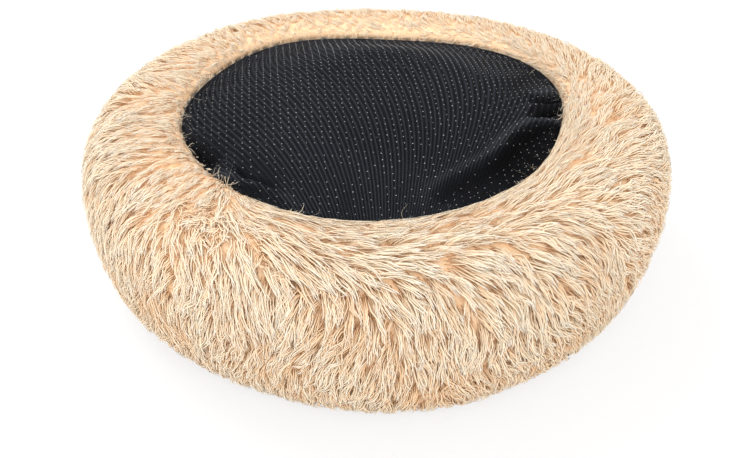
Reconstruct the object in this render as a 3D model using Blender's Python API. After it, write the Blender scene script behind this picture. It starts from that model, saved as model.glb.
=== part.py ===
"""Round plush pet bed, lying on the rim of its nest with the non-slip base up.

The bed is a stuffed plush ring (the bolster) sewn round a stuffed round pad (the base).
The ring's cover is a tube of two plush panels, one outside and one round the nest.
One ring seam joins that tube, the non-slip base cloth and the plush nest cloth.
Lengths are in metres. The origin is the middle of the rim that the bed lies on,
+Z points out of the base, and the nest is the hollow that opens downwards.
"""

import math

import bmesh
import bpy

# The whole bed
OUTER_RADIUS = 0.300
NEST_RADIUS = 0.120
BOLSTER_HEIGHT = 0.200
SEAM_RADIUS = 0.197
SEAM_HEIGHT = 0.181
BASE_RISE = 0.036

# The bolster's section
CREST_REACH = 0.033
FOOT_RADIUS = 0.212
FOOT_WIDTH = 0.040
WIDEST_HEIGHT = 0.118
NEST_WALL_HEIGHT = 0.090
PILE_DEPTH = 0.018
LIP_THICKNESS = 0.0035
CREST_POWER = 2.0
SHOULDER_POWER = 2.3
FOOT_POWER = 2.8
NEST_POWER = 2.0

# The base pad
CLOTH_THICKNESS = 0.001
NEST_CLOTH_THICKNESS = 0.004
BASE_FLAT_RADIUS = 0.030
BASE_CROWN_POWER = 2.2
CEILING_RADIUS = 0.145
CEILING_BELLY = 0.004

# The seams
SEAM_WIDTH = 0.006
SEAM_DEPTH = 0.008
SEAM_CORNER = 0.0015
CLOSING_LENGTH = 0.120
JOIN_WIDTH = 0.012
JOIN_THICKNESS = 0.002

# Clearances
GAP = 0.0003
CUT_OVERRUN = 0.002

# Counts and places round the ring
SEGMENTS = 40
JOIN_SEGMENT = 26
CLOSING_SEGMENT = 15
OUTER_STEPS = (2, 4, 3)
INNER_STEPS = (3, 4)
LINING_STEPS = (1, 2, 2)
LINING_INNER_STEPS = (2, 2)
PAD_RINGS = 6

# Folds drawn into the base cloth: azimuth at the rim and at the inner end, in degrees, then
# the inner end's distance from the axis and the half width as shares of the seam's radius,
# and the depth as a share of the crown's rise.
BASE_FOLD_SHARES = (
    (6.0, -8.0, 0.61, 0.07, 0.17),
    (-17.0, -48.0, 0.69, 0.10, 0.19),
    (-62.0, -72.0, 0.66, 0.09, 0.10),
    (-112.0, -98.0, 0.66, 0.09, 0.11),
    (-147.0, -124.0, 0.69, 0.10, 0.19),
    (-178.0, -168.0, 0.66, 0.07, 0.14),
    (143.0, 150.0, 0.71, 0.08, 0.08),
    (38.0, 30.0, 0.71, 0.08, 0.08),
)

# Derived places
LIP_RADIUS = SEAM_RADIUS + SEAM_WIDTH + GAP
CREST_RADIUS = SEAM_RADIUS + CREST_REACH
SEAM_LOW = SEAM_HEIGHT - SEAM_DEPTH
PAD_RADIUS = SEAM_RADIUS - GAP
STEP_ANGLE = math.tau / SEGMENTS


def clear_scene():
    """Remove whatever the file holds, so that the bed is alone in it."""
    for old in list(bpy.data.objects):
        bpy.data.objects.remove(old, do_unlink=True)


def finish_material(name, colour, roughness, sheen=0.0):
    """A plain cloth or fibre finish."""
    made = bpy.data.materials.new(name)
    made.use_nodes = True
    shader = made.node_tree.nodes["Principled BSDF"]
    shader.inputs["Base Color"].default_value = (*colour, 1.0)
    shader.inputs["Roughness"].default_value = roughness
    shader.inputs["Metallic"].default_value = 0.0
    shader.inputs["Sheen Weight"].default_value = sheen
    return made


def add_object(name, mesh_maker, material):
    """Put a bmesh into a named object with its material, shaded smooth but for sharp edges."""
    mesh_maker.normal_update()
    mesh = bpy.data.meshes.new(name)
    mesh_maker.to_mesh(mesh)
    mesh_maker.free()
    mesh.shade_smooth()
    mesh.set_sharp_from_angle(angle=math.radians(40))
    mesh.materials.append(material)
    made = bpy.data.objects.new(name, mesh)
    bpy.context.scene.collection.objects.link(made)
    return made


def quarter(start, end, rises_first, power, steps):
    """Quarter of a superellipse from start to end, both (radius, height).

    It leaves start upright where rises_first is true and level where it is false, and
    it meets end the other way. The first point is left out, so quarters chain.
    """
    points = []
    for step in range(1, steps + 1):
        angle = 0.5 * math.pi * step / steps
        late = 1.0 - max(math.cos(angle), 0.0) ** (2.0 / power)
        early = math.sin(angle) ** (2.0 / power)
        across, along = (late, early) if rises_first else (early, late)
        points.append(
            (
                start[0] + (end[0] - start[0]) * across,
                start[1] + (end[1] - start[1]) * along,
            )
        )
    return points


def ring_outline(inset, lip_inset, shift, outer_steps, inner_steps):
    """Section of the bolster from its upper lip, over the outside, to its lower lip.

    inset is how far the outline lies inside the cover's outer face, lip_inset the same
    at the two lips, and shift how far both lips are moved outwards.
    """
    upper_lip = (LIP_RADIUS + shift, SEAM_HEIGHT - lip_inset)
    crest = (CREST_RADIUS, BOLSTER_HEIGHT - inset)
    widest = (OUTER_RADIUS - inset, WIDEST_HEIGHT)
    foot_outside = (FOOT_RADIUS + 0.5 * FOOT_WIDTH, inset)
    foot_inside = (FOOT_RADIUS - 0.5 * FOOT_WIDTH, inset)
    nest_wall = (NEST_RADIUS + inset, NEST_WALL_HEIGHT)
    lower_lip = (LIP_RADIUS + shift, SEAM_LOW - GAP - lip_inset)
    points = [upper_lip]
    points += quarter(upper_lip, crest, True, CREST_POWER, outer_steps[0])
    points += quarter(crest, widest, False, SHOULDER_POWER, outer_steps[1])
    points += quarter(widest, foot_outside, True, FOOT_POWER, outer_steps[2])
    points.append(foot_inside)
    points += quarter(foot_inside, nest_wall, False, FOOT_POWER, inner_steps[0])
    points += quarter(nest_wall, lower_lip, True, NEST_POWER, inner_steps[1])
    return points


def cover_face():
    """The cover's outer section, flat where the bed lies on it."""
    return ring_outline(0.0, 0.0, 0.0, OUTER_STEPS, INNER_STEPS)


def lining(clearance):
    """The section of the cover's inner face, or of what lies clearance inside it."""
    return ring_outline(
        PILE_DEPTH + clearance,
        LIP_THICKNESS + clearance,
        clearance,
        LINING_STEPS,
        LINING_INNER_STEPS,
    )


def spun(name, outline, material, first=0, count=SEGMENTS, end_gap=0.0):
    """Turn a closed outline of (radius, height) about the Z axis.

    A part turn runs over count segments from segment first and is capped at both ends,
    each drawn back by end_gap.
    """
    maker = bmesh.new()
    whole = count == SEGMENTS
    rows = count if whole else count + 1
    trim = end_gap / outline[0][0]
    rings = []
    for row in range(rows):
        angle = STEP_ANGLE * (first + row)
        if not whole and row == 0:
            angle += trim
        if not whole and row == rows - 1:
            angle -= trim
        rings.append(
            [
                maker.verts.new(
                    (radius * math.cos(angle), radius * math.sin(angle), height)
                )
                for radius, height in outline
            ]
        )
    for row in range(count):
        this, following = rings[row], rings[(row + 1) % rows]
        for place in range(len(outline)):
            beyond = (place + 1) % len(outline)
            maker.faces.new(
                (this[place], this[beyond], following[beyond], following[place])
            )
    if not whole:
        maker.faces.new(rings[0])
        maker.faces.new(rings[-1])
    bmesh.ops.recalc_face_normals(maker, faces=maker.faces)
    return add_object(name, maker, material)


def height_on(outline, radius):
    """Height of a section at a radius, read along the stretch from nest wall to lower lip."""
    climb = outline[-1 - INNER_STEPS[1] :]
    for near, far in zip(climb, climb[1:]):
        if radius <= far[0]:
            share = (radius - near[0]) / (far[0] - near[0])
            return near[1] + (far[1] - near[1]) * share
    return climb[-1][1]


def pad_rings():
    """Radii of the pad's rings: even ones to the ceiling's edge, then the cover's own."""
    climb = cover_face()[-1 - INNER_STEPS[1] :]
    spacing = (CEILING_RADIUS - BASE_FLAT_RADIUS) / (PAD_RINGS - 1)
    rings = [BASE_FLAT_RADIUS + spacing * place for place in range(PAD_RINGS)]
    margin = 2.0 * GAP
    rings += [
        radius
        for radius, _ in climb
        if CEILING_RADIUS + margin < radius < PAD_RADIUS - margin
    ]
    return rings + [PAD_RADIUS]


def fold_depth(radius, angle):
    """How far the folds draw the base cloth down at a place: a smooth valley along each."""
    x, y = radius * math.cos(angle), radius * math.sin(angle)
    total = 0.0
    for rim_angle, inner_angle, inner_share, width_share, depth_share in BASE_FOLD_SHARES:
        rim = math.radians(rim_angle)
        inner = math.radians(inner_angle)
        inner_radius = SEAM_RADIUS * inner_share
        half_width = SEAM_RADIUS * width_share
        depth = BASE_RISE * depth_share
        from_x, from_y = SEAM_RADIUS * math.cos(rim), SEAM_RADIUS * math.sin(rim)
        to_x, to_y = inner_radius * math.cos(inner), inner_radius * math.sin(inner)
        run_x, run_y = to_x - from_x, to_y - from_y
        length = math.hypot(run_x, run_y)
        along = ((x - from_x) * run_x + (y - from_y) * run_y) / length**2
        across = abs((x - from_x) * run_y - (y - from_y) * run_x) / length
        if 0.0 < along < 1.0:
            total += (
                depth
                * math.sin(math.pi * along**0.5) ** 2
                * math.exp(-((across / half_width) ** 2))
            )
    return total


def base_top(radius, angle):
    """Height of the base cloth's upper face: a crown, flat in its middle, with folds."""
    out = max(radius - BASE_FLAT_RADIUS, 0.0) / (SEAM_RADIUS - BASE_FLAT_RADIUS)
    crown = BASE_RISE * (1.0 - out**BASE_CROWN_POWER)
    edge = BASE_RISE * (
        1.0
        - ((PAD_RADIUS - BASE_FLAT_RADIUS) / (SEAM_RADIUS - BASE_FLAT_RADIUS))
        ** BASE_CROWN_POWER
    )
    return SEAM_HEIGHT + crown - edge - fold_depth(radius, angle)


def nest_low(radius, angle):
    """Height of the nest cloth's underside: it lies on the cover and bellies inside it."""
    face = cover_face()
    if radius >= CEILING_RADIUS:
        return height_on(face, radius) + GAP
    edge = height_on(face, CEILING_RADIUS) + GAP
    return edge - CEILING_BELLY * (1.0 - (radius / CEILING_RADIUS) ** 2)


def disc(name, low, high, material, rim_inset=0.0):
    """A round slab between two heights, each a function of radius and angle."""
    rings = pad_rings()
    rings[-1] -= rim_inset
    maker = bmesh.new()
    faces = []
    for height in (low, high):
        centre = maker.verts.new((0.0, 0.0, height(0.0, 0.0)))
        rows = [
            [
                maker.verts.new(
                    (
                        radius * math.cos(STEP_ANGLE * place),
                        radius * math.sin(STEP_ANGLE * place),
                        height(radius, STEP_ANGLE * place),
                    )
                )
                for place in range(SEGMENTS)
            ]
            for radius in rings
        ]
        faces.append(rows[-1])
        for place in range(SEGMENTS):
            beyond = (place + 1) % SEGMENTS
            maker.faces.new((centre, rows[0][place], rows[0][beyond]))
            for inner, outer in zip(rows, rows[1:]):
                maker.faces.new((inner[place], outer[place], outer[beyond]))
                maker.faces.new((inner[place], outer[beyond], inner[beyond]))
    lower_rim, upper_rim = faces
    for place in range(SEGMENTS):
        beyond = (place + 1) % SEGMENTS
        maker.faces.new(
            (lower_rim[place], lower_rim[beyond], upper_rim[beyond], upper_rim[place])
        )
    bmesh.ops.recalc_face_normals(maker, faces=maker.faces)
    return add_object(name, maker, material)


def make_base_cloth(material):
    """The non-slip cloth: a thin crowned disc with its folds."""
    return disc(
        "base_cloth",
        lambda radius, angle: base_top(radius, angle) - CLOTH_THICKNESS,
        base_top,
        material,
    )


def make_nest_cloth(material):
    """The plush disc that the animal lies on, seen from below as the nest's ceiling."""
    return disc(
        "nest_cloth",
        nest_low,
        lambda radius, angle: nest_low(radius, angle) + NEST_CLOTH_THICKNESS,
        material,
    )


def make_base_fill(material):
    """The fibre pad between the base cloth and the nest cloth."""
    return disc(
        "base_fill",
        lambda radius, angle: nest_low(radius, angle) + NEST_CLOTH_THICKNESS + GAP,
        lambda radius, angle: base_top(radius, angle) - CLOTH_THICKNESS - GAP,
        material,
        rim_inset=GAP,
    )


def cover_panels():
    """Sections of the plush tube's two panels, which meet at the foot's inner edge."""
    face, inner_face = cover_face(), lining(0.0)
    edge, inner_edge = sum(OUTER_STEPS) + 1, sum(LINING_STEPS) + 1
    outside = face[: edge + 1] + inner_face[: inner_edge + 1][::-1]
    meeting = FOOT_RADIUS - 0.5 * FOOT_WIDTH - GAP
    face[edge] = (meeting, face[edge][1])
    inner_face[inner_edge] = (meeting, inner_face[inner_edge][1])
    nest_side = face[edge:] + inner_face[inner_edge:][::-1]
    return outside, nest_side


def make_bolster_cover(material):
    """The tube's outer panel, as thick as its pile, from the ring seam to under the rim."""
    return spun("bolster_cover", cover_panels()[0], material)


def make_nest_wall(material):
    """The tube's inner panel, which lines the nest from its rim to the ring seam."""
    return spun("nest_wall", cover_panels()[1], material)


def make_bolster_fill(material):
    """The fibre ring, with a groove for the cover's join seam."""
    made = spun("bolster_fill", lining(GAP), material)
    groove = join_strip(
        "join_groove", -CUT_OVERRUN, JOIN_THICKNESS + 2.0 * GAP, JOIN_WIDTH + 2.0 * GAP
    )
    groove.hide_render = True
    groove.display_type = "WIRE"
    cut = made.modifiers.new("join_groove", "BOOLEAN")
    cut.operation = "DIFFERENCE"
    cut.solver = "EXACT"
    cut.object = groove
    return made


def join_strip(name, outer, inner, width, material=None):
    """A band across the bolster's lining, between two depths inside the cover's wall."""
    flat = math.cos(0.5 * STEP_ANGLE)
    outside, inside = lining(outer), lining(inner)
    closed = outside + inside[::-1]
    angle = STEP_ANGLE * (JOIN_SEGMENT + 0.5)
    out_x, out_y = math.cos(angle), math.sin(angle)
    maker = bmesh.new()
    sides = []
    for side in (-0.5, 0.5):
        offset = side * width
        sides.append(
            [
                maker.verts.new(
                    (
                        radius * flat * out_x - offset * out_y,
                        radius * flat * out_y + offset * out_x,
                        height,
                    )
                )
                for radius, height in closed
            ]
        )
    left, right = sides
    count = len(outside)
    total = len(closed)
    for place in range(total):
        beyond = (place + 1) % total
        maker.faces.new((left[place], left[beyond], right[beyond], right[place]))
    for side in sides:
        for place in range(count - 1):
            maker.faces.new(
                (
                    side[place],
                    side[place + 1],
                    side[total - 2 - place],
                    side[total - 1 - place],
                )
            )
    bmesh.ops.recalc_face_normals(maker, faces=maker.faces)
    return add_object(name, maker, material or bpy.data.materials["fibre"])


def make_join_seam(material):
    """The seam allowance that joins the two ends of each plush panel, inside the tube."""
    return join_strip(
        "cover_join_seam", GAP, JOIN_THICKNESS + GAP, JOIN_WIDTH, material
    )


def seam_outline():
    """Section of the overlocked seam allowance: a slab with its corners taken off."""
    inside, outside = SEAM_RADIUS, SEAM_RADIUS + SEAM_WIDTH
    low, high = SEAM_LOW, SEAM_HEIGHT
    return [
        (inside + SEAM_CORNER, low),
        (outside - SEAM_CORNER, low),
        (outside, low + SEAM_CORNER),
        (outside, high - SEAM_CORNER),
        (outside - SEAM_CORNER, high),
        (inside + SEAM_CORNER, high),
        (inside, high - SEAM_CORNER),
        (inside, low + SEAM_CORNER),
    ]


def closing_count():
    """How many segments the hand-closed stretch of the ring seam takes."""
    return max(round(CLOSING_LENGTH / (SEAM_RADIUS * STEP_ANGLE)), 1)


def make_edge_seam(material):
    """The machine-sewn ring seam, all round but for the stretch that was left open."""
    count = closing_count()
    return spun(
        "edge_seam",
        seam_outline(),
        material,
        first=CLOSING_SEGMENT + count,
        count=SEGMENTS - count,
        end_gap=0.5 * GAP,
    )


def make_closing_seam(material):
    """The stretch of the ring seam that was closed after the filling went in."""
    return spun(
        "closing_seam",
        seam_outline(),
        material,
        first=CLOSING_SEGMENT,
        count=closing_count(),
        end_gap=0.5 * GAP,
    )


def main():
    """Build every piece of the bed."""
    clear_scene()
    plush = finish_material("plush", (0.86, 0.66, 0.44), 0.95, sheen=0.3)
    grip_cloth = finish_material("grip_cloth", (0.012, 0.013, 0.018), 0.75)
    fibre = finish_material("fibre", (0.90, 0.90, 0.88), 1.0)
    thread = finish_material("thread", (0.75, 0.62, 0.45), 0.8)
    make_bolster_cover(plush)
    make_nest_wall(plush)
    make_bolster_fill(fibre)
    make_base_cloth(grip_cloth)
    make_base_fill(fibre)
    make_nest_cloth(plush)
    make_edge_seam(thread)
    make_closing_seam(thread)
    make_join_seam(thread)


main()
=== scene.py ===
"""Dress the plush pet bed: long pile on a stuffed ring, round a ribbed non-slip base.

The bed lies upside down on the rim of its nest, as in the photograph, with the black base
up. +Z points out of the base, -Y faces the camera and the floor is the plane z = 0.
Angles round the bed are azimuths, counted from +X towards +Y.
"""

import math

import bpy
import numpy as np
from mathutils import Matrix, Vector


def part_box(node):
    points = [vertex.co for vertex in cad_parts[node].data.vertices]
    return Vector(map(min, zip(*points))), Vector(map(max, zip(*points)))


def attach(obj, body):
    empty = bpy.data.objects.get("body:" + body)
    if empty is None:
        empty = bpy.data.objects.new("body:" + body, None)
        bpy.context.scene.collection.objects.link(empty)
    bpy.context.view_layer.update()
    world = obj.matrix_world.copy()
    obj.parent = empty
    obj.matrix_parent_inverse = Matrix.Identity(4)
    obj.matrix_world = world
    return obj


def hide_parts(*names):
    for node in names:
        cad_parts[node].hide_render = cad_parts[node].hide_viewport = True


bl_info = {
    "name": "Plush Pet Bed",
    "version": (1, 0, 0),
    "blender": (4, 5, 0),
    "location": "3D Viewport > Sidebar > Pet Bed",
    "description": "A round long-pile bed lying base up, with its ribbed non-slip cloth",
    "category": "Add Mesh",
}

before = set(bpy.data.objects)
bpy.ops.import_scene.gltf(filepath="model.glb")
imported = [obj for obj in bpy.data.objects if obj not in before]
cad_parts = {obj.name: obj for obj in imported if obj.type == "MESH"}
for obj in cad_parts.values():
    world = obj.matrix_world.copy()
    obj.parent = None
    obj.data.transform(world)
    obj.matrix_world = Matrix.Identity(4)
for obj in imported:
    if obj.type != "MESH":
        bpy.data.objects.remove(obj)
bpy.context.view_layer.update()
COVER_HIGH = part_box("bolster_cover")[1]
SEAM_LOW, SEAM_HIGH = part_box("edge_seam")
CLOTH_LOW, CLOTH_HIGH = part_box("base_cloth")
SEAM_LOW_RADIUS = -CLOTH_LOW[0]
BODY = "root"
MM = 0.001
SEED = 7
UP = np.array([0.0, 0.0, 1.0])

# How far along the section the ring follows the seam's own radius.
SEAM_REACH = 0.06

# How far the cloth's folds go below the top of the seam.
DEEPEST_FOLD = 9.2 * MM

# Share of the section from which on the pile belongs to the nest's side, and the number of
# pieces that the rest is made in.
NEST_SIDE = 0.52
SECTORS = 10

# Steps of the golden sequences that spread places evenly, round a disc and over a square.
GOLDEN_ANGLE = 2.39996
PLANE_STEPS = (0.7548776662, 0.5698402910)

# Hairs in each tuft that hangs over the seam, single hairs there, lint on the base cloth
# and strands of the nest cloth.
TUFT_HAIRS = 6
SINGLE_HAIRS = 70
LINT_HAIRS = 320
NEST_HAIRS = 4200


class BedShape(bpy.types.PropertyGroup):
    """Sizes of the ring and the pad, where the frame doesn't give them."""

    crest_radius: bpy.props.FloatProperty(
        name="Crest radius",
        description="Where the ring is highest, from the bed's axis",
        default=0.230,
        unit="LENGTH",
    )
    widest_height: bpy.props.FloatProperty(
        name="Widest height",
        description="Height at which the ring is widest",
        default=0.118,
        unit="LENGTH",
    )
    foot_radius: bpy.props.FloatProperty(
        name="Foot radius",
        description="Middle of the band that the ring lies on",
        default=0.212,
        unit="LENGTH",
    )
    foot_width: bpy.props.FloatProperty(
        name="Foot width",
        description="Width of the band that the ring lies on",
        default=0.040,
        unit="LENGTH",
    )
    nest_radius: bpy.props.FloatProperty(
        name="Nest radius",
        description="Radius of the nest at its narrowest",
        default=0.120,
        unit="LENGTH",
    )
    nest_wall_height: bpy.props.FloatProperty(
        name="Nest wall height",
        description="Height at which the nest is narrowest",
        default=0.090,
        unit="LENGTH",
    )
    pile_depth: bpy.props.FloatProperty(
        name="Pile depth",
        description="From the outer face of the pile to the fibre filling",
        default=0.018,
        unit="LENGTH",
    )
    root_depth: bpy.props.FloatProperty(
        name="Root depth",
        description="From the outer face of the pile to the knitted backing",
        default=0.0068,
        unit="LENGTH",
    )
    unevenness: bpy.props.FloatProperty(
        name="Unevenness",
        description="How far the stuffing bulges out of round",
        default=0.0028,
        unit="LENGTH",
    )


class PileLook(bpy.types.PropertyGroup):
    """The long pile: how many strands, how long, and their colours."""

    locks: bpy.props.IntProperty(
        name="Locks",
        description="Tufts of pile on the ring",
        default=8600,
        min=100,
    )
    strands: bpy.props.IntProperty(
        name="Strands in a lock",
        description="Strands that each tuft holds",
        default=6,
        min=1,
    )
    length: bpy.props.FloatProperty(
        name="Length",
        description="Length of a strand",
        default=0.040,
        unit="LENGTH",
    )
    width: bpy.props.FloatProperty(
        name="Width",
        description="Width of a strand near its root",
        default=0.0014,
        unit="LENGTH",
    )
    root_colour: bpy.props.FloatVectorProperty(
        name="Root colour",
        description="Colour deep in the pile",
        default=(0.96, 0.60, 0.33),
        subtype="COLOR",
    )
    body_colour: bpy.props.FloatVectorProperty(
        name="Body colour",
        description="Colour along the strands",
        default=(0.99, 0.835, 0.63),
        subtype="COLOR",
    )
    tip_colour: bpy.props.FloatVectorProperty(
        name="Tip colour",
        description="Colour at the tips",
        default=(0.99, 0.91, 0.78),
        subtype="COLOR",
    )


class ClothLook(bpy.types.PropertyGroup):
    """The ribbed non-slip cloth of the base."""

    dot_column_pitch: bpy.props.FloatProperty(
        name="Dot column pitch",
        description="Distance from column to column of grip dots",
        default=0.00765,
        unit="LENGTH",
    )
    dot_pitch: bpy.props.FloatProperty(
        name="Dot pitch",
        description="Distance from grip dot to grip dot along a column",
        default=0.0082,
        unit="LENGTH",
    )
    dot_width: bpy.props.FloatProperty(
        name="Dot width",
        description="Width of a grip dot",
        default=0.0010,
        unit="LENGTH",
    )
    thickness: bpy.props.FloatProperty(
        name="Thickness",
        description="Thickness of the cloth",
        default=0.001,
        unit="LENGTH",
    )
    cloth_colour: bpy.props.FloatVectorProperty(
        name="Cloth colour",
        description="Colour of the ribs",
        default=(0.0136, 0.0145, 0.0176),
        subtype="COLOR",
    )
    dot_colour: bpy.props.FloatVectorProperty(
        name="Dot colour",
        description="Colour of the grip dots",
        default=(0.66, 0.66, 0.67),
        subtype="COLOR",
    )


class StageLook(bpy.types.PropertyGroup):
    """The camera of the photograph, the lamps and the floor."""

    focal_length: bpy.props.FloatProperty(
        name="Focal length",
        description="Lens of the camera, in millimetres",
        default=53.8,
    )
    camera_place: bpy.props.FloatVectorProperty(
        name="Camera place",
        description="Where the camera stands",
        default=(0.0, -1.01655, 0.72768),
        subtype="TRANSLATION",
    )
    camera_aim: bpy.props.FloatVectorProperty(
        name="Camera aim",
        description="The point at the middle of the picture",
        default=(0.001, 0.0, 0.033),
        subtype="TRANSLATION",
    )
    floor_radius: bpy.props.FloatProperty(
        name="Floor radius",
        description="Radius of the floor",
        default=9.0,
        unit="LENGTH",
    )


GROUPS = {
    "bed_shape": BedShape,
    "pile_look": PileLook,
    "cloth_look": ClothLook,
    "stage_look": StageLook,
}

# How far the seam lies from the axis, as shares of its mean radius, every 30 degrees
# from azimuth -180.
SEAM_SHARES = (
    0.970, 0.972, 1.020, 1.030, 1.004, 0.932, 0.936, 1.016, 0.995, 0.960, 1.008, 0.972,
)

# How far the crest has settled, as shares of the ring's height, and how far the lower half
# is drawn in, as shares of the outer radius, at the same azimuths.
SETTLED_SHARES = (
    0.034, 0.022, 0.022, 0.034, 0.005, 0.000, 0.012, 0.058, 0.080, 0.090, 0.064, 0.046,
)
TUCKED_SHARES = (
    0.024, 0.030, 0.050, 0.036, 0.036, 0.036, 0.028, 0.030, 0.018, 0.018, 0.018, 0.030,
)

# How the pile is combed: azimuth in degrees, share of the way along the ring's section from
# the upper seam to the lower one, and the turn of the strands in degrees, from straight down
# the section towards +azimuth.
COMBING_SHARES = (
    (-178, 0.04, 30), (-165, 0.07, 12), (-160, 0.11, -8), (-148, 0.10, 15),
    (-144, 0.17, -12), (-142, 0.23, -30), (-138, 0.14, -10), (-136, 0.28, -25),
    (-134, 0.20, -15), (-134, 0.12, 12), (-129, 0.18, 8), (-128, 0.25, -10),
    (-128, 0.11, 20), (-124, 0.16, 35), (-120, 0.16, 12), (-118, 0.21, 2),
    (-118, 0.29, -12), (-115, 0.07, 85), (-115, 0.15, 20), (-110, 0.19, 16),
    (-110, 0.26, -12), (-114, 0.34, -4), (-108, 0.10, 55), (-102, 0.13, 60),
    (-101, 0.18, -4), (-101, 0.25, -18), (-99, 0.09, 77), (-94, 0.12, 70),
    (-94, 0.18, 0), (-94, 0.24, -32), (-90, 0.09, 88), (-90, 0.24, -20),
    (-90, 0.32, -4), (-86, 0.12, 85), (-86, 0.18, 25), (-82, 0.18, 34),
    (-82, 0.24, 7), (-82, 0.32, 6), (-80, 0.09, 92), (-77, 0.13, 62),
    (-74, 0.19, 28), (-74, 0.25, 18), (-74, 0.34, 9), (-69, 0.14, 32),
    (-70, 0.08, 85), (-66, 0.20, 26), (-66, 0.27, 30), (-65, 0.33, 20),
    (-62, 0.07, 88), (-60, 0.16, 44), (-56, 0.23, 31), (-56, 0.31, 28),
    (-50, 0.18, 40), (-48, 0.05, 90), (-44, 0.28, 26), (-42, 0.11, 62),
    (-41, 0.15, 44), (-36, 0.23, 40), (-32, 0.04, 80), (-27, 0.06, 70),
    (-27, 0.15, 42), (-14, 0.03, 75), (-14, 0.08, 70), (0, 0.12, 50),
    (2, 0.02, 65), (8, 0.09, 60), (18, 0.02, 55), (22, 0.05, 52),
    (42, 0.04, 45), (56, 0.03, 35), (90, 0.03, 18), (138, 0.03, 5),
    (151, 0.03, 20), (172, 0.09, -10), (0, 0.30, 25), (40, 0.20, 25),
    (80, 0.20, 10), (120, 0.20, -5), (160, 0.20, -10), (45, 0.35, 12),
    (135, 0.35, -5), (-160, 0.30, -20), (-30, 0.38, 14), (-90, 0.45, 0),
    (0, 0.45, 0), (90, 0.45, 0), (180, 0.45, 0), (0, 0.70, 10),
    (90, 0.70, -10), (180, 0.70, 10), (-90, 0.70, -10),
)

# Patches of crushed pile: azimuth in degrees, share along the section, and half width as a
# share of the outer radius.
CRUSHED_SHARES = (
    (-128.0, 0.088, 0.062), (-122.0, 0.110, 0.055), (-112.0, 0.130, 0.034),
    (-105.0, 0.146, 0.036), (-100.0, 0.150, 0.036), (-95.0, 0.155, 0.030),
)

# Azimuths of the tufts that hang over the seam, in degrees.
TUFT_DEGREES = (-174, -163, -157, -152, -145, -136, -132, -115, -111, -60, -56, -49, -6, 1)

# Folds of the base cloth, with routes as shares of the seam's radius along X and Y.
# A crease or a ridge has its route, its height and half width as shares of that radius.
CREASE_SHARES = (
    (((1.01, 0.150), (0.93, 0.128), (0.87, 0.064), (0.82, 0.02), (0.74, -0.06)), -0.075, 0.024),
    (((0.97, 0.25), (0.88, 0.19), (0.80, 0.085), (0.75, 0.01)), 0.014, 0.035),
    (((0.90, 0.53), (0.82, 0.35), (0.75, 0.20), (0.675, 0.04), (0.62, -0.09)), -0.016, 0.045),
    (((1.00, 0.07), (0.90, -0.010), (0.84, -0.060), (0.79, -0.120), (0.73, -0.23)), -0.070, 0.028),
    (((0.96, 0.09), (0.88, 0.034), (0.83, -0.02), (0.78, -0.07), (0.73, -0.14), (0.63, -0.31)),
     0.020, 0.022),
    (((-1.00, -0.22), (-0.92, -0.33), (-0.83, -0.44), (-0.76, -0.50), (-0.70, -0.56)),
     -0.060, 0.060),
    (((-0.64, -0.61), (-0.57, -0.675), (-0.51, -0.72), (-0.46, -0.755), (-0.38, -0.84)),
     -0.026, 0.015),
    (((-0.60, -0.59), (-0.51, -0.67), (-0.45, -0.73), (-0.38, -0.81)), -0.012, 0.045),
    (((-0.93, 0.30), (-0.80, 0.24), (-0.66, 0.20)), -0.008, 0.045),
    (((0.16, -1.02), (0.12, -0.86), (0.10, -0.72)), -0.008, 0.030),
    (((-0.14, -1.02), (-0.12, -0.88), (-0.13, -0.74)), -0.008, 0.030),
)

# A shelf is where the stuffed middle ends before the seam: its route, the share of the
# crown's height that is lost beyond it, the width of the drop and the height of its edge.
SHELF_SHARES = (
    (((1.00, -0.13), (0.93, -0.15), (0.83, -0.20), (0.74, -0.265), (0.645, -0.39), (0.58, -0.50),
      (0.52, -0.59), (0.44, -0.67), (0.365, -0.73), (0.29, -0.79), (0.24, -0.85), (0.20, -0.98)),
     0.95, 0.050, 0.020),
    (((-0.78, -0.64), (-0.66, -0.67), (-0.56, -0.73), (-0.49, -0.78), (-0.42, -0.84),
      (-0.33, -0.95)), 0.70, 0.050, 0.008),
)

# Ribs of the base cloth: for each power of x, the factors of rising powers of y, in ribs.
RIB_TERMS = (
    (0.00, 11.88, 1.21, -6.40, -4.35, -0.98),
    (35.74, -16.18, 2.43, -12.48, 13.67),
    (1.34, -16.63, 9.10, -10.98),
    (-5.92, 2.08, 34.45),
    (-0.19, -0.51),
    (5.54,),
)


def periodic(values, azimuth):
    """Smooth closed curve through even values, read at an azimuth.

    Formula: the values' Fourier series, whose terms are summed at each azimuth.
    """
    count = len(values)
    terms = np.fft.rfft(values) / count
    turn = np.asarray(azimuth) + math.pi
    total = np.full(np.shape(turn), terms[0].real)
    for order in range(1, len(terms)):
        scale = 1.0 if 2 * order == count else 2.0
        total = total + scale * (
            terms[order].real * np.cos(order * turn)
            - terms[order].imag * np.sin(order * turn)
        )
    return total


def seam_share(azimuth):
    """How far out the seam lies at an azimuth, as a share of its mean radius."""
    return periodic(SEAM_SHARES, azimuth)


def seam_shift(azimuth):
    """How far the seam lies outside its mean radius at an azimuth."""
    return (seam_share(azimuth) - 1.0) * SEAM_HIGH[0]


def soft_step(value, low, high):
    """From 0 at low to 1 at high: 3 t^2 - 2 t^3 of the share t of the way between them."""
    way = np.clip((value - low) / (high - low), 0.0, 1.0)
    return way * way * (3.0 - 2.0 * way)


def bell(distance, width):
    """From 1 at no distance to 1/e at a width: exp(-(distance / width)^2)."""
    return np.exp(-((distance / width) ** 2))


def normalised(vectors, guard=0.0):
    """Vectors over their lengths; a small guard keeps empty ones finite."""
    return vectors / (np.linalg.norm(vectors, axis=-1, keepdims=True) + guard)


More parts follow.
